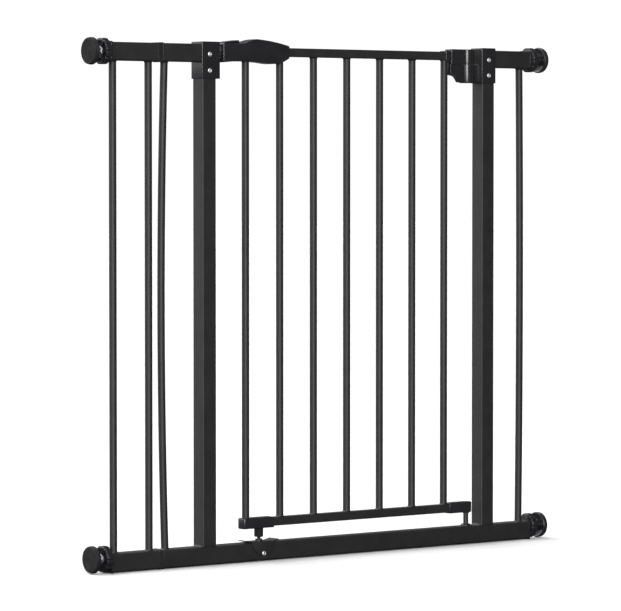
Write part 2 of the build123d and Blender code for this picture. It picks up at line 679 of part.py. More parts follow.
with BuildSketch(Plane.XZ) as handle_profile:
    with BuildLine():
        Polyline(
            (DOME_LEFT_X, BLOCK_TOP_Z), (HANDLE_LEFT_X, BLOCK_TOP_Z), (HANDLE_LEFT_X, BLOCK_BOTTOM_Z)
        )
        ThreePointArc((DOME_LEFT_X, BLOCK_TOP_Z), DOME_TOP, (HANDLE_RIGHT_X, HANDLE_TIP_TOP_Z))
        Line((HANDLE_RIGHT_X, HANDLE_TIP_TOP_Z), (HANDLE_RIGHT_X, HANDLE_TIP_BOTTOM_Z))
        belly = ThreePointArc((HANDLE_LEFT_X, BLOCK_BOTTOM_Z), BELLY_RISE, BELLY_LOW)
        TangentArc(belly @ 1, (HANDLE_RIGHT_X, HANDLE_TIP_BOTTOM_Z), tangent=belly % 1)
    make_face()

with BuildSketch(Plane.XZ) as handle_cavity:
    with BuildLine():
        Polyline(
            (HANDLE_LEFT_X + HANDLE_WALL, BLOCK_BOTTOM_Z + 2 * HANDLE_WALL),
            (HANDLE_LEFT_X + HANDLE_WALL, BLOCK_TOP_Z - HANDLE_WALL),
            (DOME_LEFT_X, BLOCK_TOP_Z - HANDLE_WALL),
            (DOME_TOP[0] - DOOR_RAIL, DOME_TOP[1] - 2 * HANDLE_WALL),
            (DOME_TOP[0] + DOOR_RAIL, DOME_TOP[1] - 2 * HANDLE_WALL),
            (HANDLE_RIGHT_X - HANDLE_WALL, HANDLE_TIP_TOP_Z - HANDLE_WALL),
            (HANDLE_RIGHT_X - HANDLE_WALL, HANDLE_TIP_BOTTOM_Z + HANDLE_WALL),
            (BELLY_LOW[0], BELLY_LOW[1] + 2 * HANDLE_WALL),
            close=True,
        )
    make_face()


def handle_shell(facing):
    """One hollow half of the handle; facing is -1 for the front and 1 for the back."""
    with BuildPart() as shell:
        with BuildSketch(Plane.XZ):
            add(handle_profile.sketch_local)
        extrude(amount=-facing * HANDLE_HALF_DEPTH)
        outer_face = shell.faces().filter_by(Axis.Y).sort_by(Axis.Y)[0 if facing < 0 else -1]
        chamfer(outer_face.edges(), HANDLE_EDGE)
        with BuildSketch(Plane.XZ):
            add(handle_cavity.sketch_local)
        extrude(amount=-facing * (HANDLE_HALF_DEPTH - HANDLE_WALL), mode=Mode.SUBTRACT)
        for x, z in SCREW_PLACES:
            with BuildSketch(Plane.XZ):
                with Locations((x, z)):
                    Circle(SCREW_BOSS_R)
            extrude(amount=-facing * (HANDLE_HALF_DEPTH - BOSS_FACE))
        with BuildSketch(Plane.YZ.offset(HANDLE_RIGHT_X - 2 * DOOR_RAIL)):
            with Locations((0, DOOR_TOP_Z)):
                RectangleRounded(DOOR_RAIL, DOOR_RAIL, DOOR_RAIL_CORNER)
        extrude(amount=3 * DOOR_RAIL, mode=Mode.SUBTRACT)
        with BuildSketch(Plane.XY.offset(BLOCK_BOTTOM_Z - DOOR_RAIL)):
            with Locations((DOOR_BAR_X, 0), (DOOR_BAR_X + DOOR_BAR_PITCH, 0)):
                Circle(BAR_CLEAR_R)
        extrude(amount=2 * DOOR_RAIL, mode=Mode.SUBTRACT)
        with Locations((HANDLE_LEFT_X, 0, TONGUE_Z)):
            Box(4 * HANDLE_WALL, TONGUE_W + 2 * TONGUE_PLAY, TONGUE_T + 2 * TONGUE_PLAY, mode=Mode.SUBTRACT)
        with Locations(((SLOT_LEFT_X + SLOT_RIGHT_X) / 2, 0, BLOCK_TOP_Z)):
            Box(SLOT_RIGHT_X - SLOT_LEFT_X, 2 * SLOT_HALF_W, 4 * HANDLE_WALL, mode=Mode.SUBTRACT)
        with Locations((RECESS_RIGHT_X, 0, BLOCK_TOP_Z)):
            Box(
                RECESS_RIGHT_X - HANDLE_LEFT_X, 2 * THUMB_RECESS, POST,
                align=(Align.MAX, Align.CENTER, Align.MIN), mode=Mode.SUBTRACT,
            )
        for x, z in SCREW_PLACES:
            with BuildSketch(Plane.XZ.offset(-SCREW_TIP_Y)):
                with Locations((x, z)):
                    Circle(SCREW_R)
            extrude(amount=SCREW_TIP_Y - SCREW_HEAD_Y, mode=Mode.SUBTRACT)
            with BuildSketch(Plane.XZ.offset(-SCREW_HEAD_Y)):
                with Locations((x, z)):
                    Circle(SCREW_HEAD_R)
            extrude(amount=-HANDLE_HALF_DEPTH, mode=Mode.SUBTRACT)
    return shell.part


save(handle_shell(-1), "handle_front")
save(handle_shell(1), "handle_back")

with BuildPart() as screws:
    for x, z in SCREW_PLACES:
        with BuildSketch(Plane.XZ.offset(-SCREW_TIP_Y)):
            with Locations((x, z)):
                Circle(SCREW_R)
        extrude(amount=SCREW_TIP_Y - SCREW_HEAD_Y)
        with BuildSketch(Plane.XZ.offset(-SCREW_HEAD_Y)):
            with Locations((x, z)):
                Circle(SCREW_HEAD_R - SCREW_HEAD_PLAY)
                Rectangle(CROSS_L, CROSS_W, mode=Mode.SUBTRACT)
                Rectangle(CROSS_W, CROSS_L, mode=Mode.SUBTRACT)
        extrude(amount=-SCREW_HEAD_H)
        with BuildSketch(Plane.XZ.offset(-SCREW_HEAD_Y)):
            with Locations((x, z)):
                Circle(SCREW_HEAD_R - SCREW_HEAD_PLAY)
        extrude(amount=-SCREW_FLOOR)
save(screws.part, "handle_screws")

# ---------------------------------------------------------------------------
# Lock slider and its leaf spring
# ---------------------------------------------------------------------------

CARRIAGE_LEFT_X = -188.0
CARRIAGE_RIGHT_X = -167.0
CARRIAGE_HALF_W = 5.6
THUMB_LEFT_X = -190.0
THUMB_RIGHT_X = -159.5
THUMB_LOW_Z = 763.3
THUMB_LEFT_Z = 765.0
THUMB_PEAK_Z = 767.8
THUMB_EDGE_Z = 0.4
THUMB_EDGE_X = 1.2
TONGUE_CORNER = 1.0

with BuildPart() as lock_slider:
    with BuildSketch(Plane.XZ.offset(-CARRIAGE_HALF_W)):
        with BuildLine():
            Polyline(
                (CARRIAGE_LEFT_X, TONGUE_Z - TONGUE_T / 2),
                (CARRIAGE_RIGHT_X, TONGUE_Z - TONGUE_T / 2),
                (CARRIAGE_RIGHT_X, THUMB_LOW_Z),
                (CARRIAGE_LEFT_X, THUMB_LOW_Z),
                close=True,
            )
        make_face()
    extrude(amount=2 * CARRIAGE_HALF_W)
    with BuildSketch(Plane.XZ.offset(-THUMB_HALF_W)):
        with BuildLine():
            Polyline(
                (THUMB_LEFT_X, THUMB_LOW_Z),
                (THUMB_RIGHT_X, THUMB_LOW_Z),
                (THUMB_RIGHT_X, THUMB_PEAK_Z - THUMB_EDGE_Z),
                (THUMB_RIGHT_X - THUMB_EDGE_X, THUMB_PEAK_Z),
                (THUMB_LEFT_X, THUMB_LEFT_Z),
                close=True,
            )
        make_face()
    extrude(amount=2 * THUMB_HALF_W)
    with BuildSketch(Plane.YZ.offset(TONGUE_END_X)):
        with Locations((0, TONGUE_Z)):
            RectangleRounded(TONGUE_W, TONGUE_T, TONGUE_CORNER)
    extrude(amount=CARRIAGE_LEFT_X - TONGUE_END_X)
save(lock_slider.part, "lock_slider")

SPRING_T = 0.5
SPRING_W = 8.0
SPRING_GAP = 0.3
SPRING_LEFT_X = CARRIAGE_RIGHT_X + SPRING_GAP
SPRING_RIGHT_X = DOOR_RAIL_LEFT_X - SPRING_GAP
SPRING_TOP_Z = 757.0
SPRING_FOLD_Z = (752.0, 749.5, 747.0, 744.8)
with BuildPart() as lock_spring:
    with BuildSketch(Plane.XZ.offset(-SPRING_W / 2)):
        with BuildLine():
            Polyline(
                (SPRING_LEFT_X + SPRING_T, SPRING_TOP_Z),
                (SPRING_LEFT_X + SPRING_T, SPRING_FOLD_Z[0]),
                (SPRING_RIGHT_X - SPRING_T, SPRING_FOLD_Z[1]),
                (SPRING_LEFT_X + SPRING_T, SPRING_FOLD_Z[2]),
                (SPRING_RIGHT_X - SPRING_T, SPRING_FOLD_Z[3]),
            )
            offset(amount=SPRING_T / 2, side=Side.BOTH)
        make_face()
    extrude(amount=SPRING_W)
save(lock_spring.part, "lock_spring")

# ---------------------------------------------------------------------------
# Clamping spindles at the four corners
# ---------------------------------------------------------------------------

CAP_PLUG_LENGTH = 14.0
WHEEL_EDGE = 1.5
NOTCH_COUNT = 12
NOTCH_R = 2.2
POCKET_COUNT = 6
POCKET_INNER_R = 9.6
POCKET_OUTER_R = 15.4
POCKET_DEPTH = 4.0
RIM_IN = 2.2
RECESS_DEPTH = 2.4
BOSS_R = 7.0
BOSS_PROUD = 1.5
RIB_T = 1.6
PAD_PLATE_T = 4.5
ROD_IN_PAD = 4.0
ROD_CHAMFER = 0.8
PAD_CHAMFER = 1.2
RUBBER_INSET = 0.6
RUBBER_EDGE = 1.8
wheel_outer_x = RAIL_END_X + CAP_FLANGE + WHEEL_GAP + WHEEL_W
pad_inner_x = WALL_X - PAD_T
disc_outer_x = WALL_X - RUBBER_T
rod_outer_x = pad_inner_x + ROD_IN_PAD


def outward(side, z, distance):
    """Plane whose +Z points to the wall on this side, at a distance from the middle."""
    return Plane(origin=(side * distance, 0, z), x_dir=(0, 1, 0), z_dir=(side, 0, 0))


def end_cap(side, z_rail, z_axis):
    """Plug in the rail's end with a flange that the wheel bears on."""
    with BuildPart() as cap:
        with BuildSketch(outward(side, z_rail, RAIL_END_X)):
            RectangleRounded(RAIL_DEPTH + 2 * FLANGE_PROUD, RAIL_HEIGHT + 2 * FLANGE_PROUD, RAIL_CORNER)
        extrude(amount=CAP_FLANGE)
        with BuildSketch(outward(side, z_rail, RAIL_END_X)):
            RectangleRounded(
                RAIL_DEPTH - 2 * (STEEL_WALL + SPIGOT_PLAY), RAIL_HEIGHT - 2 * (STEEL_WALL + SPIGOT_PLAY),
                SPIGOT_CORNER,
            )
        extrude(amount=-CAP_PLUG_LENGTH)
        with BuildSketch(outward(side, z_axis, RAIL_END_X - CAP_PLUG_LENGTH)):
            Circle(ROD_CLEAR_R)
        extrude(amount=CAP_PLUG_LENGTH + CAP_FLANGE, mode=Mode.SUBTRACT)
    return cap.part


def wheel(side, z_axis):
    """Adjusting wheel with a notched rim, pockets and a seat for its nut."""
    with BuildPart() as knob:
        with BuildSketch(outward(side, z_axis, wheel_outer_x - WHEEL_W)):
            Circle(WHEEL_R)
        extrude(amount=WHEEL_W)
        chamfer(knob.edges().filter_by(GeomType.CIRCLE), WHEEL_EDGE)
        with BuildSketch(outward(side, z_axis, wheel_outer_x - WHEEL_W)):
            with PolarLocations(WHEEL_R + NOTCH_R / 2, NOTCH_COUNT):
                Circle(NOTCH_R)
            Circle(ROD_CLEAR_R)
        extrude(amount=WHEEL_W, mode=Mode.SUBTRACT)
        with BuildSketch(outward(side, z_axis, wheel_outer_x)):
            Circle(POCKET_OUTER_R)
            Circle(POCKET_INNER_R, mode=Mode.SUBTRACT)
            with PolarLocations(WHEEL_R / 2, POCKET_COUNT):
                Rectangle(WHEEL_R, RIB_T, mode=Mode.SUBTRACT)
        extrude(amount=-POCKET_DEPTH, mode=Mode.SUBTRACT)
        with BuildSketch(outward(side, z_axis, wheel_outer_x)):
            RegularPolygon(NUT_AF / 2, 6, major_radius=False)
        extrude(amount=NUT_PROUD - NUT_T, mode=Mode.SUBTRACT)
    return knob.part


def nut(side, z_axis):
    """Hex nut, a little proud of the wheel's outer face."""
    with BuildPart() as hex_nut:
        with BuildSketch(outward(side, z_axis, wheel_outer_x + NUT_PROUD - NUT_T)):
            RegularPolygon(NUT_AF / 2, 6, major_radius=False)
            Circle(ROD_BORE_R, mode=Mode.SUBTRACT)
        extrude(amount=NUT_T)
    return hex_nut.part


def rod(side, z_axis):
    """Threaded rod, drawn plain at its outside diameter."""
    with BuildPart() as spindle:
        with BuildSketch(outward(side, z_axis, rod_outer_x - ROD_LENGTH)):
            Circle(ROD_R)
        extrude(amount=ROD_LENGTH)
        inner_end = spindle.edges().filter_by(GeomType.CIRCLE).group_by(Axis.X)[0 if side > 0 else -1]
        chamfer(inner_end, ROD_CHAMFER)
    return spindle.part


def pad_disc(side, z_axis):
    """Moulded disc with a thin rim, a dished back and a boss on the rod."""
    plate_x = disc_outer_x - PAD_PLATE_T
    with BuildPart() as disc:
        with BuildSketch(outward(side, z_axis, plate_x)):
            Circle(PAD_R)
        extrude(amount=PAD_PLATE_T)
        inner_rim = disc.edges().filter_by(GeomType.CIRCLE).group_by(Axis.X)[0 if side > 0 else -1]
        chamfer(inner_rim, PAD_CHAMFER)
        with BuildSketch(outward(side, z_axis, plate_x)):
            Circle(PAD_R - RIM_IN)
        extrude(amount=RECESS_DEPTH, mode=Mode.SUBTRACT)
        with BuildSketch(outward(side, z_axis, pad_inner_x - BOSS_PROUD)):
            Circle(BOSS_R)
        extrude(amount=plate_x + RECESS_DEPTH - pad_inner_x + BOSS_PROUD)
        with BuildSketch(outward(side, z_axis, pad_inner_x - BOSS_PROUD)):
            Circle(ROD_R)
        extrude(amount=BOSS_PROUD + ROD_IN_PAD, mode=Mode.SUBTRACT)
    return disc.part


def pad_rubber(side, z_axis):
    """Rubber face against the wall, with a rounded edge."""
    with BuildPart() as rubber:
        with BuildSketch(outward(side, z_axis, disc_outer_x)):
            Circle(PAD_R - RUBBER_INSET)
        extrude(amount=RUBBER_T)
        outer_rim = rubber.edges().filter_by(GeomType.CIRCLE).group_by(Axis.X)[-1 if side > 0 else 0]
        fillet(outer_rim, RUBBER_EDGE)
    return rubber.part


corners = {
    "top_left": (-1, TOP_RAIL_Z, TOP_RAIL_Z),
    "top_right": (1, TOP_RAIL_Z, TOP_RAIL_Z),
    "bottom_left": (-1, BOTTOM_RAIL_Z, BOTTOM_RAIL_Z + SPINDLE_RISE),
    "bottom_right": (1, BOTTOM_RAIL_Z, BOTTOM_RAIL_Z + SPINDLE_RISE),
}
for corner, (side, z_rail, z_axis) in corners.items():
    save(end_cap(side, z_rail, z_axis), f"end_cap_{corner}")
    save(wheel(side, z_axis), f"wheel_{corner}")
    save(nut(side, z_axis), f"wheel_nut_{corner}")
    save(rod(side, z_axis), f"threaded_rod_{corner}")
    save(pad_disc(side, z_axis), f"pad_disc_{corner}")
    save(pad_rubber(side, z_axis), f"pad_rubber_{corner}")
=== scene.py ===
"""Looks and studio of a pressure-fit safety gate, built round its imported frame.

Lengths are in metres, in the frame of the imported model: +X to the right along the gate,
+Y to the side the door opens to, +Z up, with the origin on the floor between the walls.
"""

import math

import bmesh
import bpy
from bpy.props import FloatProperty, FloatVectorProperty, IntProperty, PointerProperty
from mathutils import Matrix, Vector


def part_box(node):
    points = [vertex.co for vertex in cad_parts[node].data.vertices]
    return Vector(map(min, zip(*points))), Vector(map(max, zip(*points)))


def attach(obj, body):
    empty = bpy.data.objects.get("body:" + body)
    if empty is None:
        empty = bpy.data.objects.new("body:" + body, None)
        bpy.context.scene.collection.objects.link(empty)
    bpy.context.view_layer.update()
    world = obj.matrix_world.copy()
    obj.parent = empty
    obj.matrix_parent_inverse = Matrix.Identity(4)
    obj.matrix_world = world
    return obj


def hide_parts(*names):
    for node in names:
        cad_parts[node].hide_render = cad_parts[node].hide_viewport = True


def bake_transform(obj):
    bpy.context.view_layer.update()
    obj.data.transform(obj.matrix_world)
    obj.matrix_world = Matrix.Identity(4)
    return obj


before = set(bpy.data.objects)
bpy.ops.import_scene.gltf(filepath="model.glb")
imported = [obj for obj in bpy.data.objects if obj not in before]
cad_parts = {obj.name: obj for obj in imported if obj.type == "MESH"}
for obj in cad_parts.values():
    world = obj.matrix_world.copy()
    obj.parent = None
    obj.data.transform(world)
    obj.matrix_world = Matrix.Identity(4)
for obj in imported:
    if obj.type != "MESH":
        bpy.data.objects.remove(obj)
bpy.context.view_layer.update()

bl_info = {
    "name": "Safety Gate",
    "version": (1, 0, 0),
    "blender": (4, 5, 0),
    "location": "View3D > Sidebar > Gate",
    "description": "Builds the visible pieces, finishes and studio of a pressure-fit safety gate",
    "category": "Object",
}

CORNERS = ("top_left", "top_right", "bottom_left", "bottom_right")
DOOR_BARS = tuple(f"door_bar_{n}" for n in range(1, 8))


def mm(value):
    """Millimetres as metres."""
    return value * 0.001


SPIGOT_X = mm(-123.7)  # axis of the foot's spigot and the catch's socket
PIN_HOLE = mm(4.05)  # radius of the holes for the hinge pins
ROD_HOLE = mm(4.4)  # radius of the holes that a spindle passes with play
NUT_THREAD = mm(4.06)
NUT_RADIUS = mm(7.5)
NUT_PLAY = mm(0.05)
BRACKET_WALL = mm(1.3)
COLLAR_CORNER = mm(2.8)
SPIGOT_LESS = mm(5.1)  # how much smaller than its flange a plug in a tube is
HANDLE_TOP = mm(763)
HANDLE_TIP = mm(760.4)
FLOOR_TONE = 0.88
BACKDROP_LEVEL = 1.05
BRIGHT_SIDE = (-1.0, 0.25, 0.05)
DIM_EDGE, BRIGHT_EDGE = -0.3, 0.75  # where the sky starts and ends its change to the bright side
TOP_SPREAD = math.radians(60)
TOP_PLACE = (0, 2, 4)
TOP_TURN = (math.radians(-32), 0, math.radians(12))
STRIP_WIDTH, STRIP_HEIGHT = 2.2, 4.0
STRIP_PLACE = (-3.15, -5.7, 1.6)
STRIP_AIM = (0, 0, 0.4)
CAMERA_PLACE = (-3.311, -4.326, 0.5925)
CAMERA_TILT = math.radians(90 - 2.29)
CAMERA_TURN = math.radians(-37.2)


def middle(node):
    """Middle of a node's box."""
    low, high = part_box(node)
    return (low + high) / 2


def half_depth(node):
    """Half of a node's depth along Y, which is the radius of a round bar."""
    low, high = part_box(node)
    return (high.y - low.y) / 2


def span_out(node):
    """Nearest and farthest distance of a node from the middle of the gate."""
    low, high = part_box(node)
    return sorted((abs(low.x), abs(high.x)))


def steps_from(base, *steps):
    """Points (base + w, radius) of a turned profile, with w and radius in millimetres."""
    return [(base + mm(w), mm(radius)) for w, radius in steps]


# ---------------------------------------------------------------------------
# Settings
# ---------------------------------------------------------------------------


class GateSizes(bpy.types.PropertyGroup):
    """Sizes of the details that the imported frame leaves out."""

    bar_sides: IntProperty(name="Bar sides", description="Flat sides round each bar", default=48, min=12)
    weld_flare: FloatProperty(
        name="Weld flare", description="Width of a weld bead on the rail", default=mm(1.3), subtype="DISTANCE"
    )
    weld_height: FloatProperty(
        name="Weld height", description="Height of a weld bead up the bar", default=mm(2.4), subtype="DISTANCE"
    )
    cap_edge: FloatProperty(
        name="Cap edge", description="Edge radius of the moulded caps", default=mm(1.2), subtype="DISTANCE"
    )
    handle_edge: FloatProperty(
        name="Handle edge", description="Edge radius of the handle", default=mm(1.7), subtype="DISTANCE"
    )
    thread_pitch: FloatProperty(
        name="Thread pitch", description="Pitch of the spindles", default=mm(1.25), subtype="DISTANCE"
    )
    thread_depth: FloatProperty(
        name="Thread depth", description="Depth of the spindles' thread", default=mm(0.62), subtype="DISTANCE"
    )


class GateFinishes(bpy.types.PropertyGroup):
    """Colours of the gate's finishes."""

    coat: FloatVectorProperty(
        name="Powder coat", description="Colour of the steel tubes", default=(0.0105, 0.0105, 0.0112),
        subtype="COLOR", min=0, max=1,
    )
    plastic: FloatVectorProperty(
        name="Plastic", description="Colour of the mouldings", default=(0.0120, 0.0112, 0.0132),
        subtype="COLOR", min=0, max=1,
    )
    rubber: FloatVectorProperty(
        name="Rubber", description="Colour of the wall pads' faces", default=(0.0095, 0.0092, 0.0100),
        subtype="COLOR", min=0, max=1,
    )
    zinc: FloatVectorProperty(
        name="Zinc plate", description="Colour of the spindles and nuts", default=(0.60, 0.66, 0.66),
        subtype="COLOR", min=0, max=1,
    )
    steel: FloatVectorProperty(
        name="Bright steel", description="Colour of the rivets", default=(0.90, 0.90, 0.89),
        subtype="COLOR", min=0, max=1,
    )


class GateStudio(bpy.types.PropertyGroup):
    """Light, floor and camera."""

    sky_bright: FloatProperty(name="Bright side", description="Light from the bright side", default=1.6)
    sky_dim: FloatProperty(name="Dim side", description="Light from the dim side", default=0.14)
    strip_power: FloatProperty(name="Strip light", description="Power of the strip light", default=400, unit="POWER")
    top_strength: FloatProperty(name="Top light", description="Strength of the light from above", default=2.2)
    floor_bounce: FloatProperty(name="Floor bounce", description="Light the floor gives back", default=0.08)
    floor_size: FloatProperty(name="Floor", description="Radius of the floor", default=30, subtype="DISTANCE")
    lens: FloatProperty(name="Lens", description="Focal length in millimetres", default=211.1)


# ---------------------------------------------------------------------------
# Outlines
# ---------------------------------------------------------------------------


def rounded(corners, steps=5):
    """Outline through (u, v, radius) corners, with an arc at each corner that has a radius."""
    points = []
    count = len(corners)
    for n, (u, v, radius) in enumerate(corners):
        here = Vector((u, v))
        if radius <= 0:
            points.append(here)
            continue
        back = Vector(corners[n - 1][:2]) - here
        ahead = Vector(corners[(n + 1) % count][:2]) - here
        half_angle = back.angle(ahead) / 2
        reach = min(radius / math.tan(half_angle), 0.49 * back.length, 0.49 * ahead.length)
        radius = reach * math.tan(half_angle)
        to_centre = (back.normalized() + ahead.normalized()).normalized()
        centre = here + to_centre * (radius / math.sin(half_angle))
        start = here + back.normalized() * reach - centre
        end = here + ahead.normalized() * reach - centre
        turn = start.angle_signed(end)
        for step in range(steps + 1):
            angle = -turn * step / steps
            cos, sin = math.cos(angle), math.sin(angle)
            points.append(centre + Vector((start.x * cos - start.y * sin, start.x * sin + start.y * cos)))
    return points


def rectangle(width, depth, radius, u=0.0, v=0.0, steps=5):
    """Rounded rectangle about (u, v)."""
    half_u, half_v = width / 2, depth / 2
    return rounded(
        [
            (u - half_u, v - half_v, radius),
            (u + half_u, v - half_v, radius),
            (u + half_u, v + half_v, radius),
            (u - half_u, v + half_v, radius),
        ],
        steps,
    )


def circle(radius, sides, u=0.0, v=0.0, start=0.0, turn=math.tau):
    """Points round a circle, or along an arc that is less than a full turn."""
    whole = turn == math.tau
    count = sides if whole else sides + 1
    return [
        Vector((u + radius * math.cos(start + turn * n / sides), v + radius * math.sin(start + turn * n / sides)))
        for n in range(count)
    ]


def arc_through(first, between, last, steps):
    """Points along the arc through three points."""
    (ax, ay), (bx, by), (cx, cy) = first, between, last
    d = 2 * (ax * (by - cy) + bx * (cy - ay) + cx * (ay - by))
    a2, b2, c2 = ax * ax + ay * ay, bx * bx + by * by, cx * cx + cy * cy
    centre_x = (a2 * (by - cy) + b2 * (cy - ay) + c2 * (ay - by)) / d
    centre_y = (a2 * (cx - bx) + b2 * (ax - cx) + c2 * (bx - ax)) / d
    centre = Vector((centre_x, centre_y))
    arms = [Vector(p) - centre for p in (first, between, last)]
    angles = [math.atan2(arm.y, arm.x) for arm in arms]
    to_between = (angles[1] - angles[0]) % math.tau
    to_last = (angles[2] - angles[0]) % math.tau
    sweep = to_last if to_between < to_last else to_last - math.tau
    radius = arms[0].length
    return [
        centre + radius * Vector((math.cos(angles[0] + sweep * n / steps), math.sin(angles[0] + sweep * n / steps)))
        for n in range(steps + 1)
    ]


def area_sign(points):
    """Positive for an outline that runs anticlockwise."""
    return sum(a.x * b.y - b.x * a.y for a, b in zip(points, points[1:] + points[:1]))


def inset(points, distance):
    """The outline moved inwards by a distance."""
    if distance == 0:
        return list(points)
    if area_sign(points) < 0:
        distance = -distance
    moved = []
    count = len(points)
    for n, here in enumerate(points):
        before = (here - points[n - 1]).normalized()
        after = (points[(n + 1) % count] - here).normalized()
        normal_a = Vector((-before.y, before.x))
        normal_b = Vector((-after.y, after.x))
        bisector = normal_a + normal_b
        if bisector.length < 1e-6:
            moved.append(here + normal_a * distance)
            continue
        bisector.normalize()
        moved.append(here + bisector * (distance / max(0.5, bisector.dot(normal_a))))
    return moved


def soft_levels(low, high, low_edge, high_edge, low_crown=0.0, high_crown=0.0, reach=mm(5), steps=4):
    """Levels (place, inset) of a slab with rounded edges and gently crowned ends."""
    turns = [math.pi / 2 * n / steps for n in range(steps + 1)]
    levels = []
    if low_crown:
        levels += [(low, low_edge + reach), (low + low_crown * 0.3, low_edge + reach * 0.5)]
    start = low + low_crown
    levels += [(start + low_edge * (1 - math.cos(a)), low_edge * (1 - math.sin(a))) for a in turns]
    end = high - high_crown
    levels += [(end - high_edge * (1 - math.cos(a)), high_edge * (1 - math.sin(a))) for a in reversed(turns)]
    if high_crown:
        levels += [(high - high_crown * 0.3, high_edge + reach * 0.5), (high, high_edge + reach)]
    return levels


# ---------------------------------------------------------------------------
# Solids
# ---------------------------------------------------------------------------


def along_z(x, y):
    """Placer for work that stands on (x, y): u is X, v is Y and w is Z."""
    return lambda u, v, w: Vector((x + u, y + v, w))


def along_y(x=0.0, z=0.0):
    """Placer for work that faces along Y: u is X, v is Z and w is Y."""
    return lambda u, v, w: Vector((x + u, w, z + v))


def along_x(side, z=0.0):
    """Placer for work along X: w is the distance from the middle on that side, u is Y and v is Z."""
    return lambda u, v, w: Vector((side * w, u, z + v))


def skin(bm, rings, closed=False):
    """Faces between rings of points; a ring of one point is a tip."""
    built = [[bm.verts.new(point) for point in ring] for ring in rings]
    pairs = list(zip(built, built[1:])) + ([(built[-1], built[0])] if closed else [])
    for lower, upper in pairs:
        sides = max(len(lower), len(upper))
        for n in range(sides):
            m = (n + 1) % sides
            if len(lower) == 1:
                bm.faces.new((lower[0], upper[m], upper[n]))
            elif len(upper) == 1:
                bm.faces.new((lower[n], lower[m], upper[0]))
            else:
                bm.faces.new((lower[n], lower[m], upper[m], upper[n]))
    if not closed:
        for end in (built[0], built[-1]):
            if len(end) > 1:
                bm.faces.new(end)
    bmesh.ops.recalc_face_normals(bm, faces=bm.faces)
    return bm


def slab(outline, levels, place):
    """Solid of one outline at several (place, inset) levels."""
    rings = [[place(p.x, p.y, w) for p in inset(outline, shrink)] for w, shrink in levels]
    return skin(bmesh.new(), rings)


def turned(profile, place, sides=48, closed=False, ripple=None):
    """Solid of revolution from (place, radius) points; ripple scales the radius by angle."""
    rings = []
    for w, radius in profile:
        if radius <= 0:
            rings.append([place(0, 0, w)])
            continue
        ring = []
        for n in range(sides):
            angle = math.tau * n / sides
            r = radius * (ripple(angle, w) if ripple else 1.0)
            ring.append(place(r * math.cos(angle), r * math.sin(angle), w))
        rings.append(ring)
    return skin(bmesh.new(), rings, closed)


def box_solid(low, high):
    """Cutter from one corner to the other."""
    outline = [Vector(p) for p in ((low[0], low[1]), (high[0], low[1]), (high[0], high[1]), (low[0], high[1]))]
    return slab(outline, [(low[2], 0), (high[2], 0)], along_z(0, 0))


def plain_object(name, bm):
    """Object from a bmesh, linked to the scene."""
    mesh = bpy.data.meshes.new(name)
    bm.to_mesh(mesh)
    bm.free()
    obj = bpy.data.objects.new(name, mesh)
    bpy.context.scene.collection.objects.link(obj)
    return obj


def shape(base, tools, operation):
    """Join tools to a base, or cut them from it, and leave plain meshes."""
    for tool_bm in tools:
        tool = plain_object("tool", tool_bm)
        work = base.modifiers.new("work", "BOOLEAN")
        work.operation = operation
        work.solver = "EXACT"
        work.object = tool
        bpy.context.view_layer.update()
        result = bpy.data.meshes.new_from_object(base.evaluated_get(bpy.context.evaluated_depsgraph_get()))
        base.modifiers.clear()
        spent = base.data
        base.data = result
        bpy.data.meshes.remove(spent)
        tool_mesh = tool.data
        bpy.data.objects.remove(tool)
        bpy.data.meshes.remove(tool_mesh)


def join_to(base, *tools):
    """Union of the base and each tool."""
    shape(base, tools, "UNION")


def cut_from(base, *tools):
    """The base with each tool cut away."""
    shape(base, tools, "DIFFERENCE")


def finish_piece(obj, body, slot, nodes=(), sharp=35):
    """Shade, paint and mount a finished piece on its body."""
    obj.data.name = obj.name
    obj.data.materials.clear()
    obj.data.materials.append(finish(slot))
    obj.data.shade_smooth()
    obj.data.set_sharp_from_angle(angle=math.radians(sharp))
    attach(obj, body)
    if nodes:
        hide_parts(*nodes)
    return obj


# ---------------------------------------------------------------------------
# Finishes
# ---------------------------------------------------------------------------


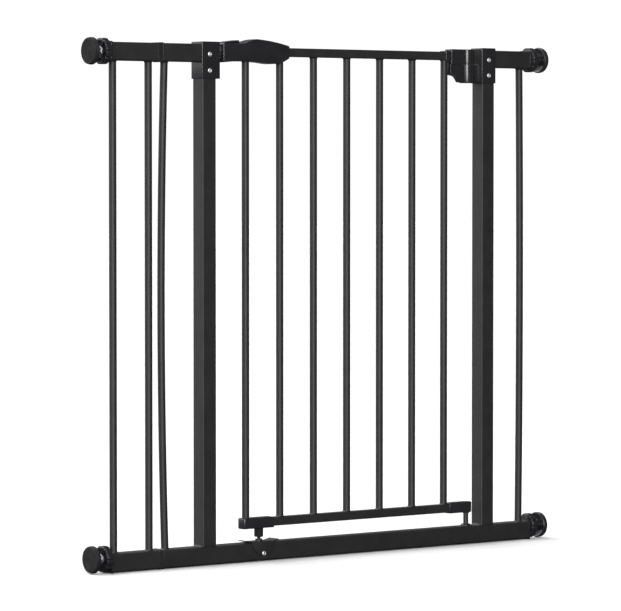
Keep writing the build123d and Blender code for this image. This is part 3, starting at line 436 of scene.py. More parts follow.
class Finish:
    """One material, built up node by node."""

    def __init__(self, name, colour, roughness, metallic=0.0):
        self.material = bpy.data.materials.new(name)
        self.material.use_nodes = True
        self.tree = self.material.node_tree
        self.shader = self.tree.nodes["Principled BSDF"]
        self.shader.inputs["Metallic"].default_value = metallic
        self.shader.inputs["Roughness"].default_value = roughness
        self.shader.inputs["Base Color"].default_value = (*colour, 1)
        self.place = self.tree.nodes.new("ShaderNodeTexCoord").outputs["Object"]
        self.height = None

    def node(self, kind, inputs=None, **settings):
        """New node with its sockets set or linked."""
        made = self.tree.nodes.new(kind)
        for key, value in settings.items():
            setattr(made, key, value)
        for key, value in (inputs or {}).items():
            if isinstance(value, bpy.types.NodeSocket):
                self.tree.links.new(value, made.inputs[key])
            else:
                made.inputs[key].default_value = value
        return made

    def noise(self, scale, detail=2.0, stretch=(1, 1, 1)):
        """Noise value at so many features a metre."""
        placed = self.node("ShaderNodeMapping", {"Vector": self.place, "Scale": stretch})
        made = self.node(
            "ShaderNodeTexNoise", {"Vector": placed.outputs["Vector"], "Scale": scale, "Detail": detail}
        )
        return made.outputs["Fac"]

    def cells(self, scale):
        """Distance to the nearest of many scattered points."""
        return self.node("ShaderNodeTexVoronoi", {"Vector": self.place, "Scale": scale}).outputs["Distance"]

    def spread(self, value, low, high, start=0.3, end=0.7):
        """Value carried from start..end to low..high."""
        made = self.node(
            "ShaderNodeMapRange",
            {"Value": value, "From Min": start, "From Max": end, "To Min": low, "To Max": high},
        )
        return made.outputs["Result"]

    def vary_colour(self, value, first, second):
        """Base colour between two colours."""
        mix = self.node("ShaderNodeMix", {"Factor": value}, data_type="RGBA")
        mix.inputs["A"].default_value = (*first, 1)
        mix.inputs["B"].default_value = (*second, 1)
        self.tree.links.new(mix.outputs["Result"], self.shader.inputs["Base Color"])

    def vary_roughness(self, value):
        """Roughness from a value."""
        self.tree.links.new(value, self.shader.inputs["Roughness"])

    def add_bump(self, value, strength, distance):
        """One more layer of relief."""
        inputs = {"Height": value, "Strength": strength, "Distance": distance}
        if self.height is not None:
            inputs["Normal"] = self.height
        self.height = self.node("ShaderNodeBump", inputs).outputs["Normal"]
        self.tree.links.new(self.height, self.shader.inputs["Normal"])


def shaded(colour, factor):
    """The colour, lighter or darker."""
    return tuple(min(1.0, part * factor) for part in colour)


def powder_coat(colour):
    """Satin powder coat: fine orange peel, faint mottling and a sprinkle of coarser grains."""
    coat = Finish("satin powder coat", colour, 0.5)
    coat.shader.inputs["Specular IOR Level"].default_value = 0.5
    coat.vary_colour(coat.spread(coat.noise(55, 4), 0, 1), shaded(colour, 0.8), shaded(colour, 1.3))
    coat.vary_roughness(coat.spread(coat.noise(1500, 2), 0.46, 0.60))
    coat.add_bump(coat.noise(750, 3), 0.25, mm(0.05))
    coat.add_bump(coat.cells(1900), 0.12, mm(0.03))
    return coat.material


def moulded_plastic(colour):
    """Moulded plastic with a fine spark-eroded grain and faint flow marks."""
    plastic = Finish("glossy moulded plastic", colour, 0.24)
    plastic.vary_colour(plastic.spread(plastic.noise(38, 3), 0, 1), shaded(colour, 0.85), shaded(colour, 1.25))
    plastic.vary_roughness(plastic.spread(plastic.noise(900, 3), 0.18, 0.30))
    plastic.add_bump(plastic.cells(1500), 0.16, mm(0.03))
    plastic.add_bump(plastic.noise(2600, 2), 0.10, mm(0.02))
    return plastic.material


def moulded_rubber(colour):
    """Matt rubber with a dusty bloom."""
    rubber = Finish("matt rubber", colour, 0.8)
    rubber.vary_colour(rubber.spread(rubber.noise(120, 4), 0, 1), shaded(colour, 0.8), shaded(colour, 1.7))
    rubber.vary_roughness(rubber.spread(rubber.noise(700, 3), 0.7, 0.9))
    rubber.shader.inputs["Specular IOR Level"].default_value = 0.3
    rubber.add_bump(rubber.noise(1700, 3), 0.4, mm(0.06))
    return rubber.material


def black_plate(colour):
    """Black plated steel, a little glossier than the coat."""
    plate = Finish("black plated steel", shaded(colour, 1.6), 0.34)
    plate.vary_colour(plate.spread(plate.noise(160, 3), 0, 1), shaded(colour, 1.2), shaded(colour, 2.2))
    plate.vary_roughness(plate.spread(plate.noise(1200, 2), 0.28, 0.42))
    plate.add_bump(plate.noise(1400, 2, (1, 1, 0.2)), 0.15, mm(0.03))
    return plate.material


def zinc_plate(colour):
    """Bright zinc with a faint green and yellow passivation bloom."""
    zinc = Finish("bright zinc plate", colour, 0.30, metallic=1.0)
    zinc.vary_colour(zinc.spread(zinc.noise(260, 4), 0, 1), shaded(colour, 0.82), (0.72, 0.76, 0.70))
    zinc.vary_roughness(zinc.spread(zinc.noise(1400, 3), 0.24, 0.44))
    zinc.add_bump(zinc.noise(2400, 2), 0.12, mm(0.02))
    return zinc.material


def bright_steel(colour):
    """Bright steel with fine drawn scratches."""
    steel = Finish("bright rivet steel", colour, 0.26, metallic=1.0)
    steel.vary_colour(steel.spread(steel.noise(500, 3), 0, 1), shaded(colour, 0.85), shaded(colour, 1.08))
    steel.vary_roughness(steel.spread(steel.noise(1100, 2, (1, 1, 6)), 0.38, 0.52))
    steel.add_bump(steel.noise(2600, 2, (1, 1, 6)), 0.10, mm(0.02))
    return steel.material


def spring_steel(colour):
    """Blued spring strip."""
    spring = Finish("blued spring steel", shaded(colour, 0.5), 0.32, metallic=1.0)
    spring.vary_colour(spring.spread(spring.noise(300, 3), 0, 1), (0.30, 0.31, 0.36), (0.46, 0.44, 0.42))
    spring.vary_roughness(spring.spread(spring.noise(1500, 2, (1, 6, 1)), 0.24, 0.42))
    return spring.material


MADE = {}


def finish(slot):
    """The material for a slot, made when it is first asked for."""
    colours = bpy.context.scene.gate_finishes
    makers = {
        "black_powder_coat": (powder_coat, colours.coat),
        "black_plastic": (moulded_plastic, colours.plastic),
        "black_rubber": (moulded_rubber, colours.rubber),
        "black_steel": (black_plate, colours.coat),
        "zinc_steel": (zinc_plate, colours.zinc),
        "bright_steel": (bright_steel, colours.steel),
        "spring_steel": (spring_steel, colours.steel),
    }
    if slot not in MADE:
        maker, colour = makers[slot]
        MADE[slot] = maker(tuple(colour))
    return MADE[slot]


# ---------------------------------------------------------------------------
# Pieces
# ---------------------------------------------------------------------------


def paint_node(node, slot):
    """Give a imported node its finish."""
    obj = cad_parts[node]
    obj.data.materials.clear()
    obj.data.materials.append(finish(slot))


def weld_ring(x, z, rise, radius, seed):
    """Bead round a bar that stands on a rail; rise is 1 upwards and -1 downwards."""
    sizes = bpy.context.scene.gate_sizes
    flare, height = sizes.weld_flare, sizes.weld_height
    sunk, skin_over, hollow, steps = mm(0.3), mm(0.05), 2.2, 5
    profile = [(z, radius - sunk)]
    for n in range(steps + 1):
        t = n / steps
        profile.append((z + rise * height * t, radius + flare * (1 - t) ** hollow + skin_over))
    profile.append((z + rise * height, radius - sunk))

    def ripple(angle, w):
        fade = 1 - abs(w - z) / height
        coarse, fine = 0.016 * math.sin(9 * angle + seed), 0.010 * math.sin(17 * angle + 2.3 * seed)
        return 1 + fade * (coarse + fine)

    return turned(profile, along_z(x, 0), 54, True, ripple)


def gather(name, solids):
    """One object from several separate solids."""
    whole = bmesh.new()
    for bm in solids:
        part = bpy.data.meshes.new("part")
        bm.to_mesh(part)
        bm.free()
        whole.from_mesh(part)
        bpy.data.meshes.remove(part)
    return plain_object(name, whole)


def tube_solid(x_at, radius, low, high, steps=1):
    """Hollow round tube whose middle is at x_at(z)."""
    sides = bpy.context.scene.gate_sizes.bar_sides
    rings = []
    for r, levels in ((radius, range(steps + 1)), (radius - mm(1), range(steps, -1, -1))):
        for n in levels:
            z = low + (high - low) * n / steps
            rings.append([Vector((x_at(z) + p.x, p.y, z)) for p in circle(r, sides)])
    return skin(bmesh.new(), rings, closed=True)


def node_solid_box(node, grow=mm(0.05), stretch=(0, 0, 0)):
    """Cutter in the shape of a node's box, a little larger and stretched along each axis."""
    low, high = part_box(node)
    reach = [grow + extra for extra in stretch]
    return box_solid([low[n] - reach[n] for n in range(3)], [high[n] + reach[n] for n in range(3)])


def rod_solid(radius, low, high, place, sides=48):
    """Plain round cutter or pin."""
    return turned([(low, 0), (low, radius), (high, radius), (high, 0)], place, sides)


def bar_clearance():
    """Radius of the hole that a moulding leaves for a door bar."""
    return half_depth(DOOR_BARS[0]) + mm(0.2)


def rail_socket(x_low, x_high, node):
    """Cutter for the end of a door rail."""
    low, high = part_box(node)
    return box_solid((x_low, low.y, low.z), (x_high, high.y, high.z))


class GateOperator:
    """What every step of the build shares."""

    bl_options = {"REGISTER", "UNDO"}


class GATE_OT_tubes(GateOperator, bpy.types.Operator):
    """Powder-coat the square rails and posts"""

    bl_idname = "gate.tubes"
    bl_label = "Rails and Posts"

    def execute(self, context):
        for node in (
            "bottom_rail", "left_post", "right_post", "top_rail_left", "top_rail_right",
            "extension_top_rail", "extension_bottom_rail", "door_top_rail", "door_bottom_rail",
        ):
            paint_node(node, "black_powder_coat")
        return {"FINISHED"}


class GATE_OT_bars(GateOperator, bpy.types.Operator):
    """Draw the round bars of the frame, the extension and the door"""

    bl_idname = "gate.bars"
    bl_label = "Bars"

    def execute(self, context):
        for node in DOOR_BARS:
            low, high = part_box(node)
            x = middle(node).x
            bar = plain_object(f"round_{node}", tube_solid(lambda z: x, half_depth(node), low.z, high.z))
            finish_piece(bar, "door", "black_powder_coat", [node])
        for node, outward in (("side_bar_left", -1), ("side_bar_right", 1)):
            low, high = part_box(node)
            radius = half_depth(node)
            bow = high.x - low.x - 2 * radius
            end = (high.x - radius) if outward < 0 else (low.x + radius)
            half = (high.z - low.z) / 2

            def bowed(z):
                return end + outward * bow * (1 - ((z - low.z) / half - 1) ** 2)

            bar = plain_object(f"round_{node}", tube_solid(bowed, radius, low.z, high.z, 32))
            finish_piece(bar, "frame", "black_powder_coat", [node])
        low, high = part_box("extension_bars")
        radius = half_depth("extension_bars")
        pair = [tube_solid(lambda z, x=x: x, radius, low.z, high.z) for x in (low.x + radius, high.x - radius)]
        finish_piece(gather("round_extension_bars", pair), "frame", "black_powder_coat", ["extension_bars"])
        return {"FINISHED"}


def post_bead(x, outward, z, half_length, seed):
    """Bead along the foot of a square post, on its left or right side."""
    sizes = bpy.context.scene.gate_sizes
    flare, height = sizes.weld_flare * 1.4, sizes.weld_height
    sunk = -mm(0.4)
    outline = [
        (sunk, 0), (flare, 0), (flare * 0.42, height * 0.32), (flare * 0.12, height * 0.7),
        (0, height), (sunk, height * 0.9),
    ]
    rings = []
    count = 60
    for n in range(count + 1):
        t = 2 * n / count - 1
        swell = 1 + 0.07 * math.sin(29 * t + seed) + 0.04 * math.sin(61 * t + 2 * seed)
        swell *= max(0.25, 1 - abs(t) ** 8)
        rings.append([Vector((x + outward * u * swell, t * half_length, z + v * swell)) for u, v in outline])
    return skin(bmesh.new(), rings)


class GATE_OT_welds(GateOperator, bpy.types.Operator):
    """Lay the weld beads between bars, posts and rails"""

    bl_idname = "gate.welds"
    bl_label = "Weld Beads"

    def execute(self, context):
        places = []
        for node, sides in (("side_bar_left", (1,)), ("side_bar_right", (-1,)), ("extension_bars", (-1, 1))):
            low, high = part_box(node)
            radius = half_depth(node)
            for side in sides:
                x = high.x - radius if side > 0 else low.x + radius
                places.append((x, low.z, high.z, radius))
        beads = []
        for n, (x, low_z, high_z, radius) in enumerate(places):
            beads.append(weld_ring(x, low_z, 1, radius, n))
            beads.append(weld_ring(x, high_z, -1, radius, n + 7.5))
        half_bead = mm(10.8)
        for n, node in enumerate(("left_post", "right_post")):
            low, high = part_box(node)
            beads.append(post_bead(low.x, -1, low.z, half_bead, n))
            beads.append(post_bead(high.x, 1, low.z, half_bead, n + 3))
        finish_piece(gather("frame_welds", beads), "frame", "black_powder_coat", sharp=60)
        # The foot, the handle and the hinge cap cover the ends that have no bead.
        beads = []
        for n, node in enumerate(DOOR_BARS):
            low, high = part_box(node)
            radius = half_depth(node)
            if n > 0:
                beads.append(weld_ring(middle(node).x, low.z, 1, radius, n))
            if 1 < n < 6:
                beads.append(weld_ring(middle(node).x, high.z, -1, radius, n + 4.5))
        finish_piece(gather("door_welds", beads), "door", "black_powder_coat", sharp=60)
        return {"FINISHED"}


def bracket_shell(name, node, left):
    """Moulded cap round a post and the end of its rail, from a left edge to the node's right edge."""
    low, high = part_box(node)
    edge = bpy.context.scene.gate_sizes.cap_edge
    outline = rectangle(high.x - left, high.y - low.y, edge, (left + high.x) / 2, 0, 6)
    levels = soft_levels(low.z, high.z, mm(0.5), mm(1.3))
    return plain_object(name, slab(outline, levels, along_z(0, 0)))


class GATE_OT_brackets(GateOperator, bpy.types.Operator):
    """Mould the latch bracket and the hinge bracket on the posts"""

    bl_idname = "gate.brackets"
    bl_label = "Brackets"

    def execute(self, context):
        low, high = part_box("latch_bracket")
        latch = bracket_shell("latch_bracket_moulding", "latch_bracket", low.x)
        cut_from(
            latch,
            node_solid_box("left_post"),
            node_solid_box("top_rail_left", stretch=(mm(1), 0, 0)),
            box_solid((high.x - mm(6), low.y + mm(1.8), mm(742)), (high.x + mm(2), high.y + mm(2), mm(760))),
        )
        finish_piece(latch, "frame", "black_plastic", ["latch_bracket"])
        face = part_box("right_post")[0].x - BRACKET_WALL
        hinge = bracket_shell("hinge_bracket_moulding", "hinge_bracket", face)
        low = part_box("hinge_bracket")[0]
        pin = middle("upper_hinge_pin")
        post_x = middle("right_post").x
        barrel_radius = pin.x - low.x
        barrel_top = mm(738.6)
        arm = slab(
            rectangle(post_x - pin.x, mm(15), mm(1), (post_x + pin.x) / 2, 0),
            soft_levels(low.z + mm(0.4), barrel_top - mm(0.1), mm(0.8), mm(0.4)),
            along_z(0, 0),
        )
        profile = [(low.z, 0)]
        profile += [(w, barrel_radius - r) for w, r in soft_levels(low.z, barrel_top, mm(1.6), mm(0.5), steps=5)]
        profile += [(barrel_top, 0)]
        join_to(hinge, arm, turned(profile, along_z(pin.x, 0), 72))
        cut_from(
            hinge,
            node_solid_box("right_post"),
            node_solid_box("top_rail_right", stretch=(mm(1), 0, 0)),
            rod_solid(PIN_HOLE, mm(720), mm(745), along_z(pin.x, 0)),
        )
        finish_piece(hinge, "frame", "black_plastic", ["hinge_bracket"])
        paint_node("upper_hinge_pin", "zinc_steel")
        # Painted shade: a thin dark matt strip on the hinge bracket's left face, above the lower barrel, stands in
        # for the deep shadow in the gap between the door's barrel and the bracket.
        pad = slab(
            rectangle(mm(24), mm(22.5), mm(1.5), 0, mm(751)), [(face - mm(0.5), mm(0.3)), (face, 0)], along_x(1)
        )
        finish_piece(plain_object("hinge_painted_shade_strip", pad), "frame", "black_rubber")
        return {"FINISHED"}


class GATE_OT_hinges(GateOperator, bpy.types.Operator):
    """Mould the door's hinge caps, and turn the lower pin and its bush"""

    bl_idname = "gate.hinges"
    bl_label = "Hinges"

    def upper_cap(self):
        """Cap over the free end of the door's top rail, with its barrel and skirt."""
        low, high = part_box("upper_hinge_cap")
        pin = middle("upper_hinge_pin")
        barrel_radius = high.x - pin.x
        body_x = pin.x - mm(37.2)
        bottom = mm(739.2)
        half, corner = mm(8.5), mm(2.2)
        body = slab(
            rounded([(body_x, -half, corner), (pin.x, -half, 0), (pin.x, half, 0), (body_x, half, corner)], 6),
            soft_levels(bottom, high.z, mm(0.3), mm(1.6)),
            along_z(0, 0),
        )
        cap = plain_object("upper_hinge_moulding", body)
        profile = [(bottom, 0)]
        profile += [(w, barrel_radius - r) for w, r in soft_levels(bottom, high.z, mm(0.4), mm(1.8), steps=5)]
        profile += [(high.z, 0)]
        rail = middle("door_top_rail")
        sleeve = slab(
            rectangle(mm(16.2), mm(16.2), mm(2)),
            soft_levels(low.x, body_x + mm(3), mm(1), mm(0.2)),
            along_x(1, rail.z),
        )
        skirt_outline = rounded(
            [
                (body_x, bottom + mm(2), 0), (body_x, low.z + mm(11.8), mm(1.2)),
                (body_x + mm(15.5), low.z + mm(9), mm(9)), (body_x + mm(21.5), low.z, mm(3)),
                (pin.x, low.z, 0), (pin.x, bottom + mm(2), 0),
            ],
            6,
        )
        skirt = slab(skirt_outline, soft_levels(-mm(7), mm(7), mm(0.8), mm(0.8)), along_y())
        join_to(cap, turned(profile, along_z(pin.x, 0), 72), sleeve, skirt)
        bar = middle(DOOR_BARS[-1])
        cut_from(
            cap,
            rod_solid(mm(12.6), low.z - mm(5), bottom, along_z(pin.x, 0), 72),
            rail_socket(low.x - mm(1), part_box("door_top_rail")[1].x, "door_top_rail"),
            rod_solid(bar_clearance(), low.z - mm(5), rail.z, along_z(bar.x, 0)),
            rod_solid(PIN_HOLE, bottom - mm(1), mm(758), along_z(pin.x, 0)),
        )
        finish_piece(cap, "door", "black_plastic", ["upper_hinge_cap"])

    def lower_cap(self):
        """Cap over the end of the door's bottom rail, on the lower pin."""
        low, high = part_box("lower_hinge_cap")
        pin_x = middle("lower_hinge_pin").x
        radius = high.x - pin_x
        outline = circle(radius, 24, pin_x, 0, -math.pi / 2, math.pi)
        outline += rounded([(low.x, radius, mm(1.5)), (low.x, -radius, mm(1.5)), (pin_x, -radius, 0)], 4)[:-1]
        cap = plain_object(
            "lower_hinge_moulding",
            slab(outline, soft_levels(low.z, high.z, mm(1.4), mm(1.4)), along_z(0, 0)),
        )
        cut_from(
            cap,
            rail_socket(low.x - mm(1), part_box("door_bottom_rail")[1].x, "door_bottom_rail"),
            rod_solid(PIN_HOLE, low.z - mm(1), mm(60), along_z(pin_x, 0)),
        )
        finish_piece(cap, "door", "black_plastic", ["lower_hinge_cap"])

    def pin_and_bush(self):
        """Lower pin with its ring, and the flanged bush it rises in."""
        low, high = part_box("lower_hinge_pin")
        x = middle("lower_hinge_pin").x
        ring = mm(48.7)
        profile = steps_from(low.z, (0, 0), (0, 3.5), (0.45, 3.95))
        profile += steps_from(ring, (-1.5, 3.95), (-1.5, 5.2), (-1.2, 5.5), (-0.3, 5.5), (0, 5.2), (0, 3.95))
        profile += steps_from(high.z, (-0.6, 3.95), (0, 3.35), (0, 0))
        pin = plain_object("lower_pin_turned", turned(profile, along_z(x, 0)))
        finish_piece(pin, "lift_pin", "black_steel", ["lower_hinge_pin"])
        low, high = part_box("hinge_bush")
        rail_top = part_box("bottom_rail")[1].z
        profile = steps_from(mm(6.5), (0, 0), (0, 4)) + steps_from(
            high.z, (-0.5, 4), (0, 4.5), (0, 6.4), (-0.35, 7.2), (-1.1, 8.0), (-2.0, 8.4), (-2.7, 8.5)
        )
        profile += steps_from(rail_top, (0, 8.5), (0, 6)) + steps_from(low.z, (0, 6), (0, 0))
        bush = plain_object("bush_turned", turned(profile, along_z(x, 0)))
        finish_piece(bush, "frame", "black_plastic", ["hinge_bush"])

    def execute(self, context):
        self.upper_cap()
        self.lower_cap()
        self.pin_and_bush()
        return {"FINISHED"}


class GATE_OT_foot(GateOperator, bpy.types.Operator):
    """Mould the latch foot and press the catch plate it drops into"""

    bl_idname = "gate.foot"
    bl_label = "Foot and Catch"

    def foot(self):
        """Sleeve on the rail's free end with its round spigot and nose."""
        low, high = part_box("latch_foot")
        half = half_depth("latch_foot")
        base = mm(48.4)
        outline = rounded(
            [(low.x, -half, mm(4.2)), (high.x, -half, mm(1)), (high.x, half, mm(1)), (low.x, half, mm(4.2))], 7
        )
        levels = soft_levels(base, high.z, mm(1.2), mm(1.5))
        foot = plain_object("foot_moulding", slab(outline, levels, along_z(0, 0)))
        end = mm(35.2)
        spigot = steps_from(low.z, (0, 0), (0, 1.7), (0.8, 2.5))
        spigot += steps_from(end, (0, 2.5), (0, 5.3), (0.3, 6.1), (0.8, 6.55), (1.4, 6.7))
        spigot += steps_from(base, (-1.6, 6.7), (-0.7, 6.95), (0.2, 7.7), (3, 7.7), (3, 0))
        join_to(foot, turned(spigot, along_z(SPIGOT_X, 0), 60))
        bar = middle(DOOR_BARS[0])
        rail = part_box("door_bottom_rail")
        cut_from(
            foot,
            rail_socket(rail[0].x, high.x + mm(1), "door_bottom_rail"),
            rod_solid(bar_clearance(), middle("door_bottom_rail").z, high.z + mm(2), along_z(bar.x, 0)),
        )
        finish_piece(foot, "door", "black_plastic", ["latch_foot"])

    def catch(self):
        """Plate with turned-up ends, a half-round apron in front and the socket."""
        low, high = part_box("catch_plate")
        x = (low.x + high.x) / 2
        half = (high.x - low.x) / 2
        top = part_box("bottom_rail")[1].z
        thick, rise, flat = mm(1.2), mm(2.6), mm(19)
        corner, bend_out, bend_in = mm(0.3), mm(9), mm(8)
        strip = rounded(
            [
                (x - half, top + rise, corner), (x - flat, top, bend_out), (x + flat, top, bend_out),
                (x + half, top + rise, corner), (x + half, top + rise + thick, corner),
                (x + flat, top + thick, bend_in), (x - flat, top + thick, bend_in),
                (x - half, top + rise + thick, corner),
            ],
            5,
        )
        half_width, edge = mm(12), mm(0.12)
        levels = soft_levels(-half_width, half_width, edge, edge, steps=2)
        plate = plain_object("catch_pressing", slab(strip, levels, along_y()))
        apron_radius = top + thick - low.z
        half_disc = circle(apron_radius, 36, x, top + thick - mm(0.05), math.pi, math.pi)
        apron = slab(half_disc, soft_levels(low.y, -mm(12.5), mm(0.5), mm(0.05), steps=3), along_y())
        fold = box_solid((x - flat, low.y + mm(0.4), top + mm(0.05)), (x + flat, -mm(11.9), top + thick))
        wall = [
            (top + thick * 0.5, 0), (top + thick * 0.5, mm(5.6)), (top + mm(2.2), mm(5.3)),
            (high.z - mm(0.4), mm(5.3)), (high.z, mm(4.9)), (high.z, 0),
        ]
        join_to(plate, apron, fold, turned(wall, along_z(SPIGOT_X, 0), 48))
        cut_from(
            plate,
            rod_solid(mm(3.3), top + thick, high.z + mm(2), along_z(SPIGOT_X, 0)),
            box_solid((mm(-127), 0, top + thick), (mm(-120.4), mm(13), high.z + mm(2))),
        )
        finish_piece(plate, "frame", "black_powder_coat", ["catch_plate"])

    def execute(self, context):
        self.foot()
        self.catch()
        return {"FINISHED"}


class GATE_OT_handle(GateOperator, bpy.types.Operator):
    """Mould the handle's two shells, the sliding lock and its spring"""

    bl_idname = "gate.handle"
    bl_label = "Handle and Lock"

    def outline(self):
        """Side profile of the handle, from the block at the latch to the tip."""
        low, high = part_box("handle_front")
        left, right = low.x, high.x
        crest = (mm(-134), mm(769.7))
        dome = arc_through((mm(-158), HANDLE_TOP), (mm(-148), mm(766.9)), crest, 8)
        dome += arc_through(crest, (mm(-108), mm(767.1)), (right, HANDLE_TIP), 12)[1:]
        belly = arc_through((left, mm(734.5)), (mm(-150), mm(736.9)), (mm(-110), mm(734)), 16)
        start, tangent = belly[-1], (belly[-1] - belly[-2]).normalized()
        normal = Vector((-tangent.y, tangent.x))
        chord = Vector((right, mm(742.6))) - start
        centre = start + normal * (chord.length_squared / (2 * chord.dot(normal)))
        arm = start - centre
        sweep = arm.angle_signed(start + chord - centre)
        rise, steps = [], 7
        for n in range(1, steps + 1):
            angle = -sweep * n / steps
            cos, sin = math.cos(angle), math.sin(angle)
            rise.append(centre + Vector((arm.x * cos - arm.y * sin, arm.x * sin + arm.y * cos)))
        corner = mm(2.2)
        points = [(p.x, p.y, 0) for p in belly + rise]
        points[0] = (*points[0][:2], corner)
        points[-1] = (*points[-1][:2], corner)
        points += [(p.x, p.y, 0) for p in reversed(dome)]
        points[len(belly) + len(rise)] = (right, HANDLE_TIP, corner)
        points.append((left, HANDLE_TOP, corner))
        return rounded(points, 4)

    def shell(self, name, node, facing, outline):
        """Front or back half, hollow, with a fine groove where the halves meet."""
        edge = bpy.context.scene.gate_sizes.handle_edge
        depth, seam, seam_edge = mm(12), mm(0.08), mm(0.35)
        if facing < 0:
            levels = soft_levels(-depth, -seam, edge, seam_edge)
        else:
            levels = soft_levels(seam, depth, seam_edge, edge)
        shell = plain_object(name, slab(outline, levels, along_y()))
        low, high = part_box(node)
        left, right = low.x, high.x
        wall, top = mm(2.2), HANDLE_TOP
        cavity = [
            (left + wall, mm(738.9)), (left + wall, top - wall), (mm(-166), top - wall), (mm(-141), mm(765.5)),
            (mm(-115), mm(765.5)), (right - wall, mm(758.2)), (right - wall, mm(744.8)), (mm(-110), mm(738.4)),
        ]
        inner = depth - wall
        tools = [
            slab([Vector(p) for p in cavity], [(-inner, 0), (inner, 0)], along_y()),
            rail_socket(mm(-101), right + mm(2), "door_top_rail"),
            # The tongue's hole, the slot under the thumb wedge and the recess the wedge slides in.
            box_solid((left - mm(2), -mm(5.4), mm(742.6)), (left + mm(3), mm(5.4), mm(751.4))),
            box_solid((mm(-190.5), -mm(6), top - mm(4)), (mm(-156.5), mm(6), top + mm(4))),
            box_solid((left - mm(2), -mm(8.4), top), (mm(-155.5), mm(8.4), top + mm(12))),
        ]
        tools += [
            rod_solid(bar_clearance(), mm(722), mm(747), along_z(middle(bar).x, 0)) for bar in DOOR_BARS[:2]
        ]
        if facing > 0:
            tools += [
                rod_solid(mm(2.8), mm(9), depth + mm(1), along_y(mm(x), mm(z)), 32)
                for x, z in ((-187.5, 738.8), (-118.0, 762.0), (-100.0, 740.0))
            ]
        cut_from(shell, *tools)
        finish_piece(shell, "door", "black_plastic", [node])

    def slider(self):
        """Thumb wedge with grip ribs, its carriage and the lock tongue."""
        low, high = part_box("lock_slider")
        left, right = mm(-190), mm(-163.7)
        base, left_top = mm(763.3), mm(765)
        wedge = rounded(
            [
                (left, base, mm(0.3)), (right, base, mm(0.3)), (right, high.z, mm(1.4)), (left, left_top, mm(0.8)),
            ],
            4,
        )
        half = half_depth("lock_slider")
        levels = soft_levels(-half, half, mm(0.9), mm(0.9))
        slider = plain_object("lock_slider_moulding", slab(wedge, levels, along_y()))
        carriage = box_solid((mm(-188), -mm(5.6), mm(743)), (mm(-167), mm(5.6), base + mm(0.6)))
        tongue = slab(
            rectangle(mm(10), mm(8), mm(1)), soft_levels(low.x, mm(-187), mm(0.8), 0), along_x(1, mm(747))
        )
        join_to(slider, carriage, tongue)
        grip = math.atan2(high.z - left_top, right - left)
        first_rib, rib_gap, rib_count, rib_end = -185.5, 3.4, 6, mm(1.6)
        for n in range(rib_count):
            x = mm(first_rib + rib_gap * n)
            z = left_top + (x - left) * math.tan(grip) - mm(0.15)
            levels = soft_levels(-half + rib_end, half - rib_end, mm(0.4), mm(0.4))
            join_to(slider, slab(circle(mm(0.6), 12, x, z), levels, along_y()))
        finish_piece(slider, "slider", "black_plastic", ["lock_slider"])

    def spring(self):
        """Folded leaf of the lock's spring, drawn in one fixed shape."""
        low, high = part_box("lock_spring")
        thick = mm(0.5)
        line = [
            Vector(p)
            for p in (
                (low.x + thick / 2, high.z), (low.x + thick / 2, mm(752)), (high.x - thick / 2, mm(749.5)),
                (low.x + thick / 2, mm(747)), (high.x - thick / 2, low.z + thick),
            )
        ]
        left_side, right_side = [], []
        for n, here in enumerate(line):
            before = (here - line[max(n - 1, 0)]).normalized() if n else (line[1] - here).normalized()
            after = (line[n + 1] - here).normalized() if n + 1 < len(line) else before
            bisector = (Vector((-before.y, before.x)) + Vector((-after.y, after.x))).normalized()
            reach = thick / 2 / max(0.45, bisector.dot(Vector((-before.y, before.x))))
            left_side.append(here + bisector * reach)
            right_side.append(here - bisector * reach)
        outline = left_side + list(reversed(right_side))
        leaf = plain_object("lock_spring_leaf", slab(outline, [(low.y, 0), (high.y, 0)], along_y()))
        leaf.data.materials.append(finish("spring_steel"))
        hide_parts("lock_spring")
        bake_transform(leaf)

    def execute(self, context):
        outline = self.outline()
        self.shell("handle_front_shell", "handle_front", -1, outline)
        self.shell("handle_back_shell", "handle_back", 1, outline)
        self.slider()
        self.spring()
        paint_node("handle_screws", "black_steel")
        return {"FINISHED"}


class GATE_OT_plugs(GateOperator, bpy.types.Operator):
    """Mould the collars of the side extension and the caps in the rails' ends"""

    bl_idname = "gate.plugs"
    bl_label = "Collars and End Caps"

    def execute(self, context):
        for node in ("extension_plug_top", "extension_plug_bottom"):
            low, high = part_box(node)
            z = (low.z + high.z) / 2
            width, height = high.y - low.y, high.z - low.z
            left, lip = mm(-312), mm(-303.5)
            right = lip + mm(1)
            levels = steps_from(left, (0, 0.9), (0.15, 0.62), (0.4, 0.5))
            levels += steps_from(lip, (-0.3, 0.5), (0, 0.2), (0.25, 0)) + steps_from(right, (-0.25, 0), (0, 0.2))
            outline = rectangle(width, height, COLLAR_CORNER)
            collar = plain_object(f"{node}_moulding", slab(outline, levels, along_x(1, z)))
            inner = rectangle(width - SPIGOT_LESS, height - SPIGOT_LESS, mm(1))
            spigot = slab(inner, [(low.x, 0), (high.x, 0)], along_x(1, z))
            join_to(collar, spigot)
            finish_piece(collar, "frame", "black_plastic", [node])
        for corner in CORNERS:
            node = f"end_cap_{corner}"
            low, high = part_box(node)
            side = 1 if high.x > 0 else -1
            z = (low.z + high.z) / 2
            face = max(abs(low.x), abs(high.x))
            width, height = high.y - low.y, high.z - low.z
            outline = rectangle(width, height, COLLAR_CORNER)
            flange = slab(outline, soft_levels(face - mm(3.5), face, mm(0.3), mm(0.9)), along_x(side, z))
            cap = plain_object(f"{node}_moulding", flange)
            inner = rectangle(width - SPIGOT_LESS, height - SPIGOT_LESS, mm(1))
            plug = slab(inner, [(face - mm(17.5), 0), (face - mm(3), 0)], along_x(side, z))
            axis_z = middle(f"wheel_{corner}").z
            join_to(cap, plug)
            cut_from(cap, rod_solid(ROD_HOLE, face - mm(20), face + mm(1), along_x(side, axis_z)))
            finish_piece(cap, "frame", "black_plastic", [node])
        return {"FINISHED"}


